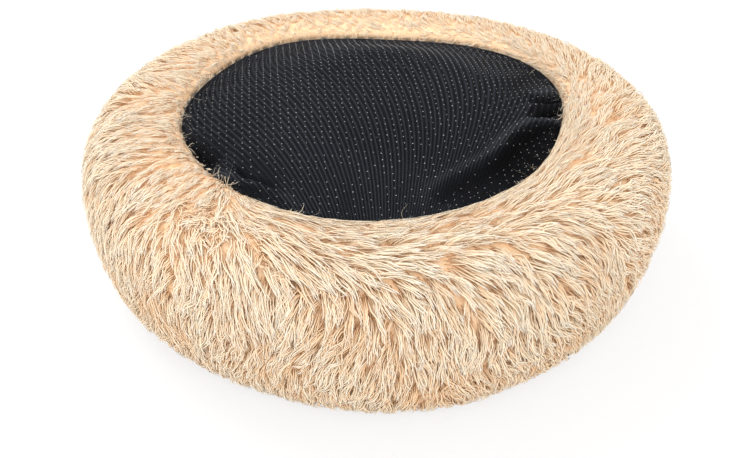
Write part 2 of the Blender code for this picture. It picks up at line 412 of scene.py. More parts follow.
def swung(angle, first, second):
    """Directions at an angle from the first ones towards the second ones, square to them."""
    return np.cos(angle)[:, None] * first + np.sin(angle)[:, None] * second


def angle_between(first, second):
    """The turn from the second angle to the first, by the shorter way round."""
    return (first - second + math.pi) % math.tau - math.pi


def settle(points):
    """The bed's slump: its crest lowered and its lower half drawn in, all as one.

    Formula: the height loses the azimuth's settled share times the squared height over the
    middle, more towards the rim; the radius loses the tucked share in the lower half, in
    proportion to how far out the point is.
    """
    x, y, z = points[..., 0], points[..., 1], points[..., 2]
    radius = np.hypot(x, y)
    azimuth = np.arctan2(y, x)
    middle = 0.5 * COVER_HIGH[2]
    aloft = np.clip((z - middle) / middle, 0.0, 1.1) ** 2
    outer = COVER_HIGH[0]
    drop = periodic(SETTLED_SHARES, azimuth) * COVER_HIGH[2] * aloft
    drop = drop * soft_step(radius, 0.20 * outer, 0.62 * outer)
    lower_half = 1.0 - soft_step(z, 0.22 * middle, 1.3 * middle)
    tuck = periodic(TUCKED_SHARES, azimuth) * outer * lower_half
    tuck = tuck * soft_step(radius, 0.66 * outer, 0.92 * outer)
    shrink = 1.0 - tuck / np.maximum(radius, MM)
    return np.stack([x * shrink, y * shrink, z - drop], axis=-1)


def ripples(azimuth, along, seed, turns, waves, count=14):
    """Smooth noise on the ring, between about -1 and 1, closed round the azimuth.

    Formula: a sum of sines of whole turns of azimuth plus waves along the section, with
    seeded phases, over the root of half their number.
    """
    rng = np.random.default_rng(seed)
    total = np.zeros(np.broadcast(azimuth, along).shape)
    for _ in range(count):
        turn = rng.integers(-turns, turns + 1)
        wave = rng.uniform(-waves, waves)
        phase = rng.uniform(0.0, math.tau)
        total = total + np.sin(turn * azimuth + math.tau * wave * along + phase)
    return total / math.sqrt(0.5 * count)


def quarter(start, end, rises_first, power, count=80):
    """Quarter of a superellipse between two (radius, height) points.

    Formula: one share is sin(a)^(2/power) and the other 1 - cos(a)^(2/power), for a from
    0 to a quarter turn, so that it leaves upright and arrives level, or the other way.
    """
    angle = np.linspace(0.0, 0.5 * math.pi, count + 1)[1:]
    late = 1.0 - np.clip(np.cos(angle), 0.0, 1.0) ** (2.0 / power)
    early = np.sin(angle) ** (2.0 / power)
    across, climb = (late, early) if rises_first else (early, late)
    return np.column_stack(
        [
            start[0] + (end[0] - start[0]) * across,
            start[1] + (end[1] - start[1]) * climb,
        ]
    )


class Section:
    """The ring's section, from the upper seam over the outside and the nest wall to the lower one.

    Six quarters of superellipses end to end, read at even steps of arc and smoothed a
    little; its normal is the tangent turned by a quarter outwards.
    """

    def __init__(self, shape, samples=800, smoothing=31):
        lip = SEAM_HIGH[0] + 0.3 * MM
        outer = COVER_HIGH[0]
        half_foot = 0.5 * shape.foot_width
        upper = (lip, SEAM_HIGH[2])
        crest = (shape.crest_radius, COVER_HIGH[2])
        widest = (outer, shape.widest_height)
        foot_out = (shape.foot_radius + half_foot, 0.0)
        foot_in = (shape.foot_radius - half_foot, 0.0)
        wall = (shape.nest_radius, shape.nest_wall_height)
        lower = (lip, SEAM_LOW[2] - 0.3 * MM)
        points = np.concatenate(
            [
                [upper],
                quarter(upper, crest, True, 2.0),
                quarter(crest, widest, False, 2.3),
                quarter(widest, foot_out, True, 2.8),
                [foot_in],
                quarter(foot_in, wall, False, 2.8),
                quarter(wall, lower, True, 2.0),
            ]
        )
        arc = np.concatenate([[0.0], np.cumsum(np.hypot(*np.diff(points, axis=0).T))])
        even = np.linspace(0.0, arc[-1], samples)
        self.length = arc[-1]
        self.share = even / self.length
        self.radius = self.smooth(np.interp(even, arc, points[:, 0]), smoothing)
        self.height = self.smooth(np.interp(even, arc, points[:, 1]), smoothing)
        run, rise = np.gradient(self.radius), np.gradient(self.height)
        size = np.hypot(run, rise)
        self.out = -rise / size
        self.up = run / size
        self.core = (shape.foot_radius, 0.5 * COVER_HIGH[2])
        angle = np.arctan2(self.height - self.core[1], self.radius - self.core[0])
        self.first_angle = angle[0]
        turned = (angle[0] - angle) % math.tau
        reach = np.hypot(self.height - self.core[1], self.radius - self.core[0])
        open_end = turned[-1] + 0.3 * (math.tau - turned[-1])
        self.turned = np.append(turned, [open_end, math.tau])
        self.turned_share = np.append(self.share, [0.0, 0.0])
        self.reach = np.append(reach, [reach[0], reach[0]])

    @staticmethod
    def smooth(values, count):
        """Running mean under a raised cosine, with odd reflection at both ends."""
        weights = np.hanning(count)
        half = count // 2
        padded = np.pad(values, half, mode="reflect", reflect_type="odd")
        return np.convolve(padded, weights / weights.sum(), "valid")

    def at(self, share):
        """Radius, height and outward normal at shares of the section."""
        return [
            np.interp(share, self.share, values)
            for values in (self.radius, self.height, self.out, self.up)
        ]

    def pulled_in(self, points, allowance, soft=2.5 * MM):
        """Points drawn back to the ring's outer face where they stand out too far.

        Formula: seen from the section's core, a point's distance past the face plus its
        allowance is turned into soft times one less the exponential of its share of soft.
        """
        radius = np.hypot(points[..., 0], points[..., 1])
        azimuth = np.arctan2(points[..., 1], points[..., 0])
        across, above = radius - self.core[0], points[..., 2] - self.core[1]
        turned = (self.first_angle - np.arctan2(above, across)) % math.tau
        share = np.interp(turned, self.turned, self.turned_share)
        across = across - seam_shift(azimuth) * self.lip_fade(share, SEAM_REACH)
        turned = (self.first_angle - np.arctan2(above, across)) % math.tau
        face = np.interp(turned, self.turned, self.reach)
        distance = np.hypot(across, above)
        past = distance - face - allowance
        kept = np.where(past > 0.0, soft * (1.0 - np.exp(-np.maximum(past, 0.0) / soft)), past)
        scale = (kept - past) / distance
        cos, sin = np.cos(azimuth), np.sin(azimuth)
        points = points.copy()
        points[..., 0] += scale * across * cos
        points[..., 1] += scale * across * sin
        points[..., 2] += scale * above
        return points

    def lip_fade(self, share, reach):
        """From 1 on a seam to 0 well past a reach from it along the section."""
        return bell(np.minimum(share, 1.0 - share) * self.length, reach)


def ring_points(section, shape, azimuth, share, inset):
    """Points of the ring, and the directions of its surface there.

    Formula: the section's point less inset times its normal, moved out by the stuffing's
    unevenness and near the seams by the seam's own radius, turned to the azimuth. Returns
    the points, the normal, the direction down the section and that towards +azimuth, all
    before the bed settles.
    """
    radius, height, out, up = section.at(share)
    free = 1.0 - section.lip_fade(share, 0.03)
    aloft = np.clip(height / 0.05, 0.0, 1.0)
    most = 0.8 * MM
    swell = shape.unevenness * ripples(azimuth, share, SEED, 5, 1.6)
    swell = np.minimum(swell, most) * free * aloft
    depth = swell - inset
    shift = seam_shift(azimuth) * section.lip_fade(share, SEAM_REACH)
    radius = radius + depth * out + shift
    height = height + depth * up
    cos, sin = np.cos(azimuth), np.sin(azimuth)
    zero = np.zeros_like(cos)
    points = np.stack([radius * cos, radius * sin, height + zero], axis=-1)
    normal = np.stack([out * cos, out * sin, up + zero], axis=-1)
    down = np.stack([up * cos, up * sin, -out + zero], axis=-1)
    round_ = np.stack([-sin, cos, zero], axis=-1)
    return points, normal, down, round_


def root_inset(section, shape, share):
    """How deep the backing lies: shallow at the seams and where the bed lies on its pile."""
    height = section.at(share)[1]
    inset = shape.root_depth * (1.0 - section.lip_fade(share, 0.035))
    foot = bell(height, 0.02) * (share > 0.4) * (share < 0.7)
    return inset * (1.0 - 0.5 * foot) + 0.5 * MM


def add_mesh(name, points, faces, material, layers=None):
    """Make an object of points and an array of like faces, or a list of any faces.

    layers holds values for UV maps, one pair for each corner of each face, in order.
    """
    mesh = bpy.data.meshes.new(name)
    if isinstance(faces, np.ndarray):
        count, corners = faces.shape
        mesh.vertices.add(len(points))
        mesh.vertices.foreach_set("co", np.asarray(points, np.float32).ravel())
        mesh.loops.add(faces.size)
        mesh.loops.foreach_set("vertex_index", faces.astype(np.int32).ravel())
        mesh.polygons.add(count)
        mesh.polygons.foreach_set(
            "loop_start", np.arange(0, faces.size, corners, dtype=np.int32)
        )
    else:
        mesh.from_pydata(np.asarray(points).tolist(), [], faces)
    mesh.polygons.foreach_set("use_smooth", np.ones(len(mesh.polygons), bool))
    mesh.update(calc_edges=True)
    for layer, values in (layers or {}).items():
        uv_map = mesh.uv_layers.new(name=layer)
        uv_map.data.foreach_set("uv", np.asarray(values, np.float32).ravel())
    mesh.materials.append(material)
    made = bpy.data.objects.new(name, mesh)
    bpy.context.scene.collection.objects.link(made)
    return made


def grid_faces(rows, columns, wrap_rows=False, wrap_columns=False):
    """Quads of a grid of points in row order; a wrapped side joins its last to its first."""
    row = np.arange(rows if wrap_rows else rows - 1)
    column = np.arange(columns if wrap_columns else columns - 1)
    row, column = np.meshgrid(row, column, indexing="ij")
    beside = (column + 1) % columns
    after = (row + 1) % rows
    return np.stack(
        [
            row * columns + column,
            row * columns + beside,
            after * columns + beside,
            after * columns + column,
        ],
        axis=-1,
    ).reshape(-1, 4)


def place(piece, *nodes, slot=None):
    """Let a finished piece ride on the bed and stand for CAD nodes, whose parts it hides.

    slot: not used.
    """
    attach(piece, BODY)
    if nodes:
        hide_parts(*nodes)
    return piece


def turn_out(piece):
    """Point all faces of a closed piece outwards."""
    mesh = piece.data
    points = np.empty(3 * len(mesh.vertices))
    mesh.vertices.foreach_get("co", points)
    mesh.calc_loop_triangles()
    corners = np.empty(3 * len(mesh.loop_triangles), dtype=np.int32)
    mesh.loop_triangles.foreach_get("vertices", corners)
    a, b, c = points.reshape(-1, 3)[corners.reshape(-1, 3)].transpose(1, 0, 2)
    if np.einsum("ij,ij->i", a, np.cross(b, c)).sum() < 0.0:
        mesh.flip_normals()


def torus(name, points, material):
    """A closed ring from a grid of points: azimuths by places round the section."""
    rows, columns = points.shape[:2]
    faces = grid_faces(rows, columns, True, True)
    return add_mesh(name, settle(points).reshape(-1, 3), faces, material)


def capped_tube(name, points, material):
    """A closed tube from a grid of points: places along it by places round it."""
    rows, columns = points.shape[:2]
    faces = grid_faces(rows, columns, False, True).tolist()
    faces.append(list(range(columns))[::-1])
    faces.append([(rows - 1) * columns + k for k in range(columns)])
    made = add_mesh(name, settle(points).reshape(-1, 3), faces, material)
    turn_out(made)
    return made


def new_material(name):
    """An empty node material and the means to add to it."""
    made = bpy.data.materials.new(name)
    made.use_nodes = True
    tree = made.node_tree
    return made, tree, tree.nodes["Principled BSDF"]


def add_node(tree, kind, **settings):
    """Add a node; settings are its own properties, or inputs where one has that name."""
    made = tree.nodes.new(kind)
    for key, value in settings.items():
        if key in {socket.name for socket in made.inputs}:
            made.inputs[key].default_value = value
        else:
            setattr(made, key, value)
    return made


def ramp(tree, source, stops):
    """A colour ramp driven by a socket; stops are (position, colour)."""
    made = tree.nodes.new("ShaderNodeValToRGB")
    elements = made.color_ramp.elements
    while len(elements) < len(stops):
        elements.new(0.5)
    for element, (position, colour) in zip(elements, stops):
        element.position = position
        element.color = (*colour, 1.0)
    tree.links.new(source, made.inputs["Fac"])
    return made.outputs["Color"]


def blend_colours(tree, factor, first, second, mode="MIX"):
    """Mix two colours, sockets or tuples, by a socket or a number."""
    made = tree.nodes.new("ShaderNodeMix")
    made.data_type = "RGBA"
    made.blend_type = mode
    inputs = [made.inputs[0], made.inputs[6], made.inputs[7]]
    for socket, value in zip(inputs, (factor, first, second)):
        if isinstance(value, bpy.types.NodeSocket):
            tree.links.new(value, socket)
        elif isinstance(value, (int, float)):
            socket.default_value = value
        else:
            socket.default_value = (*value, 1.0)
    return made.outputs[2]


def scaled(colour, factor):
    """A colour made lighter or darker, kept below full white."""
    return tuple(min(channel * factor, 0.99) for channel in colour)


def blended(first, second, share):
    """A colour at a share of the way from one to another."""
    return tuple(a + (b - a) * share for a, b in zip(first, second))


def grey(level):
    """A colour without a hue."""
    return (level, level, level)


def map_values(tree, name):
    """Sockets of the map of that name: the whole, what runs across and what runs along."""
    uv = add_node(tree, "ShaderNodeUVMap", uv_map=name)
    split = tree.nodes.new("ShaderNodeSeparateXYZ")
    tree.links.new(uv.outputs["UV"], split.inputs["Vector"])
    return uv.outputs["UV"], split.outputs["X"], split.outputs["Y"]


def object_noise(tree, scale, detail, **more):
    """The value of a noise over the object's own coordinates."""
    source = tree.nodes.get("Texture Coordinate") or tree.nodes.new("ShaderNodeTexCoord")
    made = add_node(tree, "ShaderNodeTexNoise", Scale=scale, Detail=detail, **more)
    tree.links.new(source.outputs["Object"], made.inputs["Vector"])
    return made.outputs["Fac"]


def bumped(tree, height, strength, distance, under=None):
    """The normal that a bump gives, on top of the normal under it if there is one."""
    made = add_node(tree, "ShaderNodeBump", Strength=strength, Distance=distance)
    tree.links.new(height, made.inputs["Height"])
    if under is not None:
        tree.links.new(under, made.inputs["Normal"])
    return made.outputs["Normal"]


def dress(tree, shader, colour, roughness, specular=None, sheen=None, normal=None):
    """Give a shader its colour and finish; what isn't given stays as Blender has it."""
    tree.links.new(colour, shader.inputs["Base Color"])
    if normal is not None:
        tree.links.new(normal, shader.inputs["Normal"])
    finish = {"Roughness": roughness, "Specular IOR Level": specular, "Sheen Weight": sheen}
    for key, value in finish.items():
        if value is not None:
            shader.inputs[key].default_value = value


def pile_material(look):
    """Strands: tan at the root, cream at the tip, each strand with its own tint.

    The colour is read from the strands' own map alone: across it the strand's tint, along it the
    way from root to tip. On the ring's pile the tint also holds painted shade and light: darker
    and warmer deep in the pile and down the front, paler near the upper seam.
    """
    made, tree, shader = new_material("long_pile")
    whole, tint, way = map_values(tree, "strand")
    root, body, tip = look.root_colour, look.body_colour, look.tip_colour
    warm = ramp(
        tree,
        way,
        [
            (0.0, scaled(root, 0.95)),
            (0.35, blended(root, body, 0.25)),
            (0.70, blended(root, body, 0.50)),
            (1.0, blended(root, body, 0.70)),
        ],
    )
    pale = ramp(
        tree,
        way,
        [(0.0, root), (0.25, blended(root, body, 0.8)), (0.60, body), (0.85, tip), (1.0, tip)],
    )
    paleness_and_painted_shading = ramp(tree, tint, [(0.08, grey(0.0)), (0.62, grey(1.0))])
    colour = blend_colours(tree, paleness_and_painted_shading, warm, pale)
    streaks = add_node(tree, "ShaderNodeTexNoise", Scale=1.0, Detail=2.0)
    stretch = add_node(tree, "ShaderNodeMapping", Scale=(160.0, 7.0, 1.0))
    tree.links.new(whole, stretch.inputs["Vector"])
    tree.links.new(stretch.outputs["Vector"], streaks.inputs["Vector"])
    shade = ramp(tree, streaks.outputs["Fac"], [(0.3, (0.93, 0.91, 0.88)), (0.65, grey(1.0))])
    colour = blend_colours(tree, 1.0, colour, shade, "MULTIPLY")
    dress(tree, shader, colour, 0.9, specular=0.0)
    return made


def backing_material(look):
    """The knitted backing with its short under-fur, in the colour of the roots."""
    made, tree, shader = new_material("knitted_backing")
    root, body = look.root_colour, look.body_colour
    tufts = object_noise(tree, 260.0, 4.0)
    patches = object_noise(tree, 22.0, 3.0)
    fine = ramp(tree, tufts, [(0.25, root), (0.7, blended(root, body, 0.6))])
    broad = ramp(tree, patches, [(0.3, (0.93, 0.9, 0.86)), (0.7, grey(1.0))])
    colour = blend_colours(tree, 1.0, fine, broad, "MULTIPLY")
    dress(tree, shader, colour, 0.9, specular=0.0, normal=bumped(tree, tufts, 0.8, 0.002))
    return made


def fibre_material():
    """Loose white polyester fibre: matted strands that cross each other."""
    made, tree, shader = new_material("polyester_fibre")
    waves = object_noise(tree, 90.0, 6.0, Roughness=0.7, Distortion=1.6)
    colour = ramp(tree, waves, [(0.3, (0.62, 0.61, 0.58)), (0.65, (0.9, 0.9, 0.88))])
    dress(tree, shader, colour, 0.95, sheen=0.3, normal=bumped(tree, waves, 0.9, 0.003))
    return made


def thread_material(look):
    """Overlock thread over the turned-in edges of cloth and plush."""
    made, tree, shader = new_material("overlock_thread")
    twist = object_noise(tree, 900.0, 2.0)
    dark, light = scaled(look.root_colour, 1.1), scaled(look.body_colour, 0.95)
    colour = ramp(tree, twist, [(0.3, dark), (0.7, light)])
    dress(tree, shader, colour, 0.75, normal=bumped(tree, twist, 0.5, 0.0004))
    return made


def grip_cloth_material(look):
    """Ribbed knit in near-black: ribs from the cloth's own map, a fine weave and lint.

    Across the map run the ribs, whole numbers in the grooves; along it runs the painted shading of
    the folds: painted shade darkens the folds and a painted highlight lightens the ridges.
    """
    made, tree, shader = new_material("ribbed_grip_cloth")
    _, rib, painted_shading = map_values(tree, "ribs")
    weave = object_noise(tree, 1400.0, 2.0)
    broad = object_noise(tree, 9.0, 3.0)
    lint = object_noise(tree, 420.0, 1.0)
    phase = add_node(tree, "ShaderNodeMath", operation="FRACT")
    tree.links.new(rib, phase.inputs[0])
    cloth = tuple(look.cloth_colour)
    # Each rib painted lighter at its crest and darker in its grooves: painted highlight and shade.
    section = ((0.0, 0.45), (0.22, 0.6), (0.5, 2.5), (0.78, 0.6), (1.0, 0.45))
    across = ramp(tree, phase.outputs[0], [(at, scaled(cloth, lit)) for at, lit in section])
    fine = ramp(tree, weave, [(0.35, grey(0.35)), (0.65, grey(1.35))])
    worn = ramp(tree, broad, [(0.35, grey(0.8)), (0.65, (1.05, 1.08, 1.12))])
    # Where the painted shading is low or high the ribs blur to a flat colour; painted shade
    # darkens the folds and a painted highlight lightens the ridges.
    rib_blur_in_painted_light = ramp(tree, painted_shading, [(0.35, grey(0.75)), (0.73, grey(0.0)), (1.0, grey(0.45))])
    painted_fold_light_and_shade = ramp(tree, painted_shading, [(0.0, grey(0.03)), (0.75, grey(1.0)), (1.0, (2.4, 2.4, 2.3))])
    colour = blend_colours(tree, rib_blur_in_painted_light, across, scaled(cloth, 1.5))
    for shade in (fine, worn, painted_fold_light_and_shade):
        colour = blend_colours(tree, 1.0, colour, shade, "MULTIPLY")
    specks = ramp(tree, lint, [(0.74, grey(0.0)), (0.80, grey(0.05))])
    colour = blend_colours(tree, 1.0, colour, specks, "ADD")
    swell = add_node(tree, "ShaderNodeMath", operation="PINGPONG")
    tree.links.new(rib, swell.inputs[0])
    swell.inputs[1].default_value = 0.5
    ribs = bumped(tree, swell.outputs[0], 0.9, 0.0012)
    normal = bumped(tree, weave, 0.5, 0.0003, under=ribs)
    dress(tree, shader, colour, 0.85, specular=0.05, normal=normal)
    return made


def dot_material(look):
    """Pale silicone of the grip dots, a little dusty."""
    made, tree, shader = new_material("grip_dot_silicone")
    dust = object_noise(tree, 60.0, 3.0)
    colour = ramp(tree, dust, [(0.35, scaled(look.dot_colour, 0.55)), (0.65, look.dot_colour)])
    dress(tree, shader, colour, 0.4)
    return made


def floor_material():
    """Pale floor: it keeps the bed's shadow, and the camera sees the rest of it as white."""
    made, tree, shader = new_material("pale_floor")
    grain = object_noise(tree, 3.0, 2.0)
    colour = ramp(tree, grain, [(0.3, grey(0.90)), (0.7, grey(0.92))])
    dress(tree, shader, colour, 0.9, specular=0.1)
    white = add_node(tree, "ShaderNodeEmission", Strength=1.0)
    path = tree.nodes.new("ShaderNodeLightPath")
    share = add_node(tree, "ShaderNodeMath", operation="MULTIPLY")
    tree.links.new(path.outputs["Is Camera Ray"], share.inputs[0])
    share.inputs[1].default_value = 0.75
    both = tree.nodes.new("ShaderNodeMixShader")
    for source, socket in zip((share, shader, white), both.inputs):
        tree.links.new(source.outputs[0], socket)
    tree.links.new(both.outputs[0], tree.nodes["Material Output"].inputs["Surface"])
    return made


def shared_material(name, maker, *words):
    """The material of that name, made once."""
    return bpy.data.materials.get(name) or maker(*words)


def strand_mesh(name, paths, widths, lean, tints, material, way=None):
    """Tapered three-sided strands along given paths, as one mesh.

    Formula: at each step of a path a triangle stands square to it, its base as wide as the
    strand there and its ridge towards lean; the last point is the tip. The base of the
    first triangle is closed. The map gives the tint across and the way to the tip along.
    """
    count, steps = paths.shape[:2]
    rings = steps - 1
    guard = 1e-9
    run = normalised(np.gradient(paths, axis=1)[:, :rings], guard)
    side = normalised(np.cross(run, lean[:, None, :]), guard)
    ridge = np.cross(side, run)
    way = np.linspace(0.0, 1.0, steps) if way is None else way
    taper = (1.0 - 0.55 * way[:rings] ** 2) * np.minimum(1.0, 0.6 + 2.0 * way[:rings])
    half = 0.5 * widths[:, None, None] * taper[None, :, None]
    centre = paths[:, :rings]
    below, above = 0.15 * half * ridge, 0.28 * half * ridge
    corners = np.stack(
        [centre - half * side - below, centre + half * side - below, centre + above], axis=2
    )
    each = 3 * rings + 1
    points = np.concatenate(
        [corners.reshape(count, 3 * rings, 3), paths[:, -1:]], axis=1
    ).reshape(-1, 3)
    faces = [[0, 1, 2]]
    for ring in range(rings - 1):
        for corner in range(3):
            a, b = 3 * ring + corner, 3 * ring + (corner + 1) % 3
            faces += [[b, a, a + 3], [b, a + 3, b + 3]]
    last = 3 * (rings - 1)
    faces += [[last + (corner + 1) % 3, last + corner, each - 1] for corner in range(3)]
    faces = np.array(faces)
    all_faces = (faces[None] + (np.arange(count) * each)[:, None, None]).reshape(-1, 3)
    across = np.append(np.tile([0.0, 0.02, 0.01], rings), 0.01)
    along = np.append(np.repeat(way[:rings], 3), 1.0)
    u = 0.97 * tints[:, None] + across[None]
    v = np.broadcast_to(0.005 + 0.99 * along, (count, each))
    corner_values = np.stack([u, v], axis=-1).reshape(-1, 2)[all_faces.ravel()]
    return add_mesh(
        name,
        points,
        all_faces,
        material,
        layers={"strand": corner_values, "OFBake": corner_values},
    )


def combed(azimuth, share):
    """Turn of the pile at a place: the nearest rows of COMBING_SHARES, weighed by nearness.

    Formula: the mean direction of all rows, each weighed by one over its distance to the
    fourth, measured round the ring and along its section in like lengths.
    """
    rows = np.array(COMBING_SHARES, float)
    turn = np.radians(rows[:, 2])
    apart = angle_between(azimuth[:, None], np.radians(rows[:, 0]))
    distance = (0.26 * apart) ** 2 + (0.62 * (share[:, None] - rows[:, 1])) ** 2
    weight = 1.0 / (distance + 0.006**2) ** 2
    sine = (weight * np.sin(turn)).sum(axis=1)
    cosine = (weight * np.cos(turn)).sum(axis=1)
    return np.arctan2(sine, cosine)


def crushed(azimuth, share):
    """From 1 in the middle of a crushed patch to 0 outside them all."""
    most = np.zeros(np.shape(azimuth))
    for middle, middle_share, half in CRUSHED_SHARES:
        apart = angle_between(azimuth, math.radians(middle))
        distance = np.hypot(0.22 * apart, 0.62 * (share - middle_share)) / COVER_HIGH[0]
        most = np.maximum(most, np.clip(1.6 - distance / (0.625 * half), 0.0, 1.0))
    return most


def spread_places(section, count, rng):
    """Even places on the ring: azimuths and section shares, sparser inside the nest.

    Formula: the plane's golden sequence, whose second coordinate is bent so that places
    fall in proportion to radius times the wanted density along the section; the crushed
    patch and the rim get two more for each.
    """
    order = np.arange(count) + 0.5
    first, second = ((order * step) % 1.0 for step in PLANE_STEPS)
    wanted = np.interp(
        section.share,
        [0.0, 0.45, 0.56, 0.62, 1.0],
        [1.0, 1.0, 0.55, 0.36, 0.30],
    )
    total = np.cumsum(section.radius * wanted)
    share = np.interp(second, total / total[-1], section.share)
    azimuth = math.tau * first - math.pi
    more = rng.random(count) < np.maximum(crushed(azimuth, share), 0.9 * (share < 0.04))
    azimuth = np.concatenate([azimuth, azimuth[more], azimuth[more]])
    share = np.concatenate([share, share[more], share[more]])
    jitter, mean_radius = 2.0 * MM, 0.25
    azimuth = azimuth + rng.normal(0.0, jitter / mean_radius, len(share))
    share = share + rng.normal(0.0, jitter / section.length, len(share))
    return azimuth, np.clip(share, 0.002, 0.998)


def lay_strands(section, shape, look, azimuth, share, rng, way):
    """Paths, widths, leans and tints of the strands of locks at given places.

    Formula: a strand starts on the backing beside its lock's middle, along a mix of the
    surface's normal and the combed direction, and ends along the combed direction with some
    fall: its point at t is the root plus its length times the first direction times
    t - t^2/2 plus the second times t^2/2, with a wave of its own. Its place beside the
    middle shrinks towards the tip, it stays within the ring's outer face, and it doesn't
    go below the floor.
    """
    locks = len(azimuth)
    behind = np.clip(np.sin(azimuth), 0.0, 1.0)
    turn = combed(azimuth, share)
    calm = 1.0 - 0.65 * bell(share, 0.085)
    turn += 0.22 * calm * ripples(azimuth, share, SEED + 1, 22, 9.0)
    turn += calm * rng.normal(0.0, 0.16, locks)
    mess = crushed(azimuth, share)
    turn += mess * rng.normal(0.0, 1.2, locks)
    inset = root_inset(section, shape, share)
    root, normal, down, round_ = ring_points(section, shape, azimuth, share, inset)
    combed_way = swung(turn, down, round_)
    across = np.cross(combed_way, normal)
    far_side = behind * bell(share, 0.16)
    side_face = bell(share - 0.30, 0.14)
    lift_root = 0.62 + 0.40 * far_side + 0.10 * side_face + rng.normal(0.0, 0.14, locks)
    lift_tip = 0.05 + 0.45 * far_side + 0.14 * side_face + rng.normal(0.0, 0.12, locks)
    lift_tip += 0.10 * ripples(azimuth, share, SEED + 2, 26, 10.0)
    lift_root += mess * 0.3
    first = swung(lift_root, combed_way, normal)
    second = swung(lift_tip, combed_way, normal)
    second[:, 2] -= 0.20 * side_face + 0.06
    second = normalised(second)
    length = look.length * (1.0 + 0.13 * ripples(azimuth, share, SEED + 3, 9, 4.0))
    length *= rng.uniform(0.82, 1.15, locks)
    length *= 1.0 - 0.58 * mess
    length *= 0.62 + 0.38 * np.clip(share / 0.10, 0.0, 1.0)
    length *= 1.0 - 0.45 * np.clip((share - 0.40) / 0.12, 0.0, 1.0)

    each = look.strands
    lock = np.repeat(np.arange(locks), each)
    number = np.tile(np.arange(each), locks)
    total = locks * each
    t = way[None] * rng.uniform(0.80, 1.06, total)[:, None]
    paths = root[lock][:, None] + length[lock][:, None, None] * (
        first[lock][:, None] * (t - 0.5 * t**2)[:, :, None]
        + second[lock][:, None] * (0.5 * t**2)[:, :, None]
    )
    spread = 4.2 * MM * np.sqrt((number + 0.4) / each)
    angle = number * GOLDEN_ANGLE + np.repeat(rng.uniform(0.0, math.tau, locks), each)
    away = (
        (spread * np.cos(angle))[:, None] * across[lock]
        + (spread * np.sin(angle))[:, None] * combed_way[lock]
    )
    draw = 1.0 - rng.uniform(0.10, 0.80, locks)[lock][:, None] * way[None] ** 0.8
    paths += away[:, None] * draw[:, :, None]
    stray = rng.normal(0.0, 1.4 * MM, (total, 3))
    loose = rng.random(total) < 0.08
    stray[loose] *= 2.6
    stray *= calm[lock][:, None]
    paths += stray[:, None] * (way**2)[None, :, None]
    wave_way = swung(rng.normal(0.0, 0.7, total), across[lock], normal[lock])
    wave_size = rng.uniform(0.3, 1.1, total) * (calm + 1.6 * mess)[lock] * MM
    turns = rng.uniform(0.9, 1.9, total)[:, None] * (1.0 - 0.4 * mess[lock][:, None])
    phase = rng.uniform(0.0, math.tau, total)[:, None]
    bend = np.sin(math.tau * turns * way[None] + phase) - np.sin(phase)
    paths += wave_way[:, None] * (wave_size[:, None] * bend)[:, :, None]
    lock_phase = rng.uniform(0.0, math.tau, locks)[lock][:, None]
    lock_turns = rng.uniform(0.7, 1.3, locks)[lock][:, None]
    lock_size = (rng.normal(0.0, 1.5 * MM, locks) * (calm + mess))[lock][:, None]
    bend = np.sin(math.tau * lock_turns * t + lock_phase) - np.sin(lock_phase)
    paths += across[lock][:, None] * (lock_size * bend)[:, :, None]
    layer = rng.random(total) ** 1.25
    allowance = (3.8 * layer**2 - 3.6) * MM
    allowance -= 2.0 * MM * behind[lock]
    paths = section.pulled_in(paths, allowance[:, None])
    floor, give = 0.8 * MM, 4.0 * MM
    under = paths[..., 2] - floor
    soft = np.where(under > give, under, give * np.exp(np.minimum(under / give - 1.0, 0.0)))
    paths[..., 2] = floor + soft
    widths = look.width * rng.uniform(0.65, 1.3, total) * np.where(loose, 0.6, 1.0)
    widths *= (np.where(share > 0.56, 1.5, 1.0) * (0.45 + 0.55 * calm))[lock]
    roll = rng.normal(0.0, 0.25, total)
    lean = normal[lock] + roll[:, None] * across[lock]
    tone_and_painted_shading = 0.57 + 0.12 * ripples(azimuth, share, SEED + 4, 18, 8.0)
    tone_and_painted_shading += rng.normal(0.0, 0.12, locks) - 0.30 * mess
    # Paler near the upper seam: partly the pile's own paler colour there, partly painted light on
    # the top.
    tone_and_painted_shading += 0.20 * bell(share, 0.13) * (1.0 - mess)
    # Darker down the front, which faces away from the key lamp: painted shade.
    front = soft_step(share, 0.12, 0.24) * np.clip(-np.sin(azimuth), 0.0, 1.0)
    tone_and_painted_shading -= 0.22 * front
    # Deep strands darker and warmer, outer ones paler, more so on the front: painted shade and
    # light in the depth of the pile.
    painted_depth_shading = (0.35 + 0.35 * front)[lock] * (layer - 0.45)
    tints = tone_and_painted_shading[lock] + painted_depth_shading + rng.normal(0.0, 0.10, total)
    tints = np.clip(tints, 0.0, 0.999)
    return settle(paths), widths, lean, tints


def simple_hairs(root, way, normal, length, width, rng, fall, steps=4, curl_size=1.0):
    """Paths, widths and leans of single hairs that leave straight, then fall and curl.

    Formula: the root plus the length times the way times t, plus t squared times a random
    curl that falls, plus a sine of t across it.
    """
    count = len(root)
    t = np.linspace(0.0, 1.0, steps)
    curl = curl_size * rng.normal(0.0, 0.22, (count, 3))
    curl[:, 2] -= fall
    wave = curl_size * rng.normal(0.0, 0.05, (count, 3))
    wave = wave[:, None] * np.sin(math.tau * 1.1 * t)[None, :, None]
    paths = root[:, None] + length[:, None, None] * (
        way[:, None] * t[None, :, None] + curl[:, None] * (t**2)[None, :, None] + wave
    )
    widths = width * rng.uniform(0.7, 1.3, count)
    lean = normal + rng.normal(0.0, 0.3, (count, 3))
    return paths, widths, lean


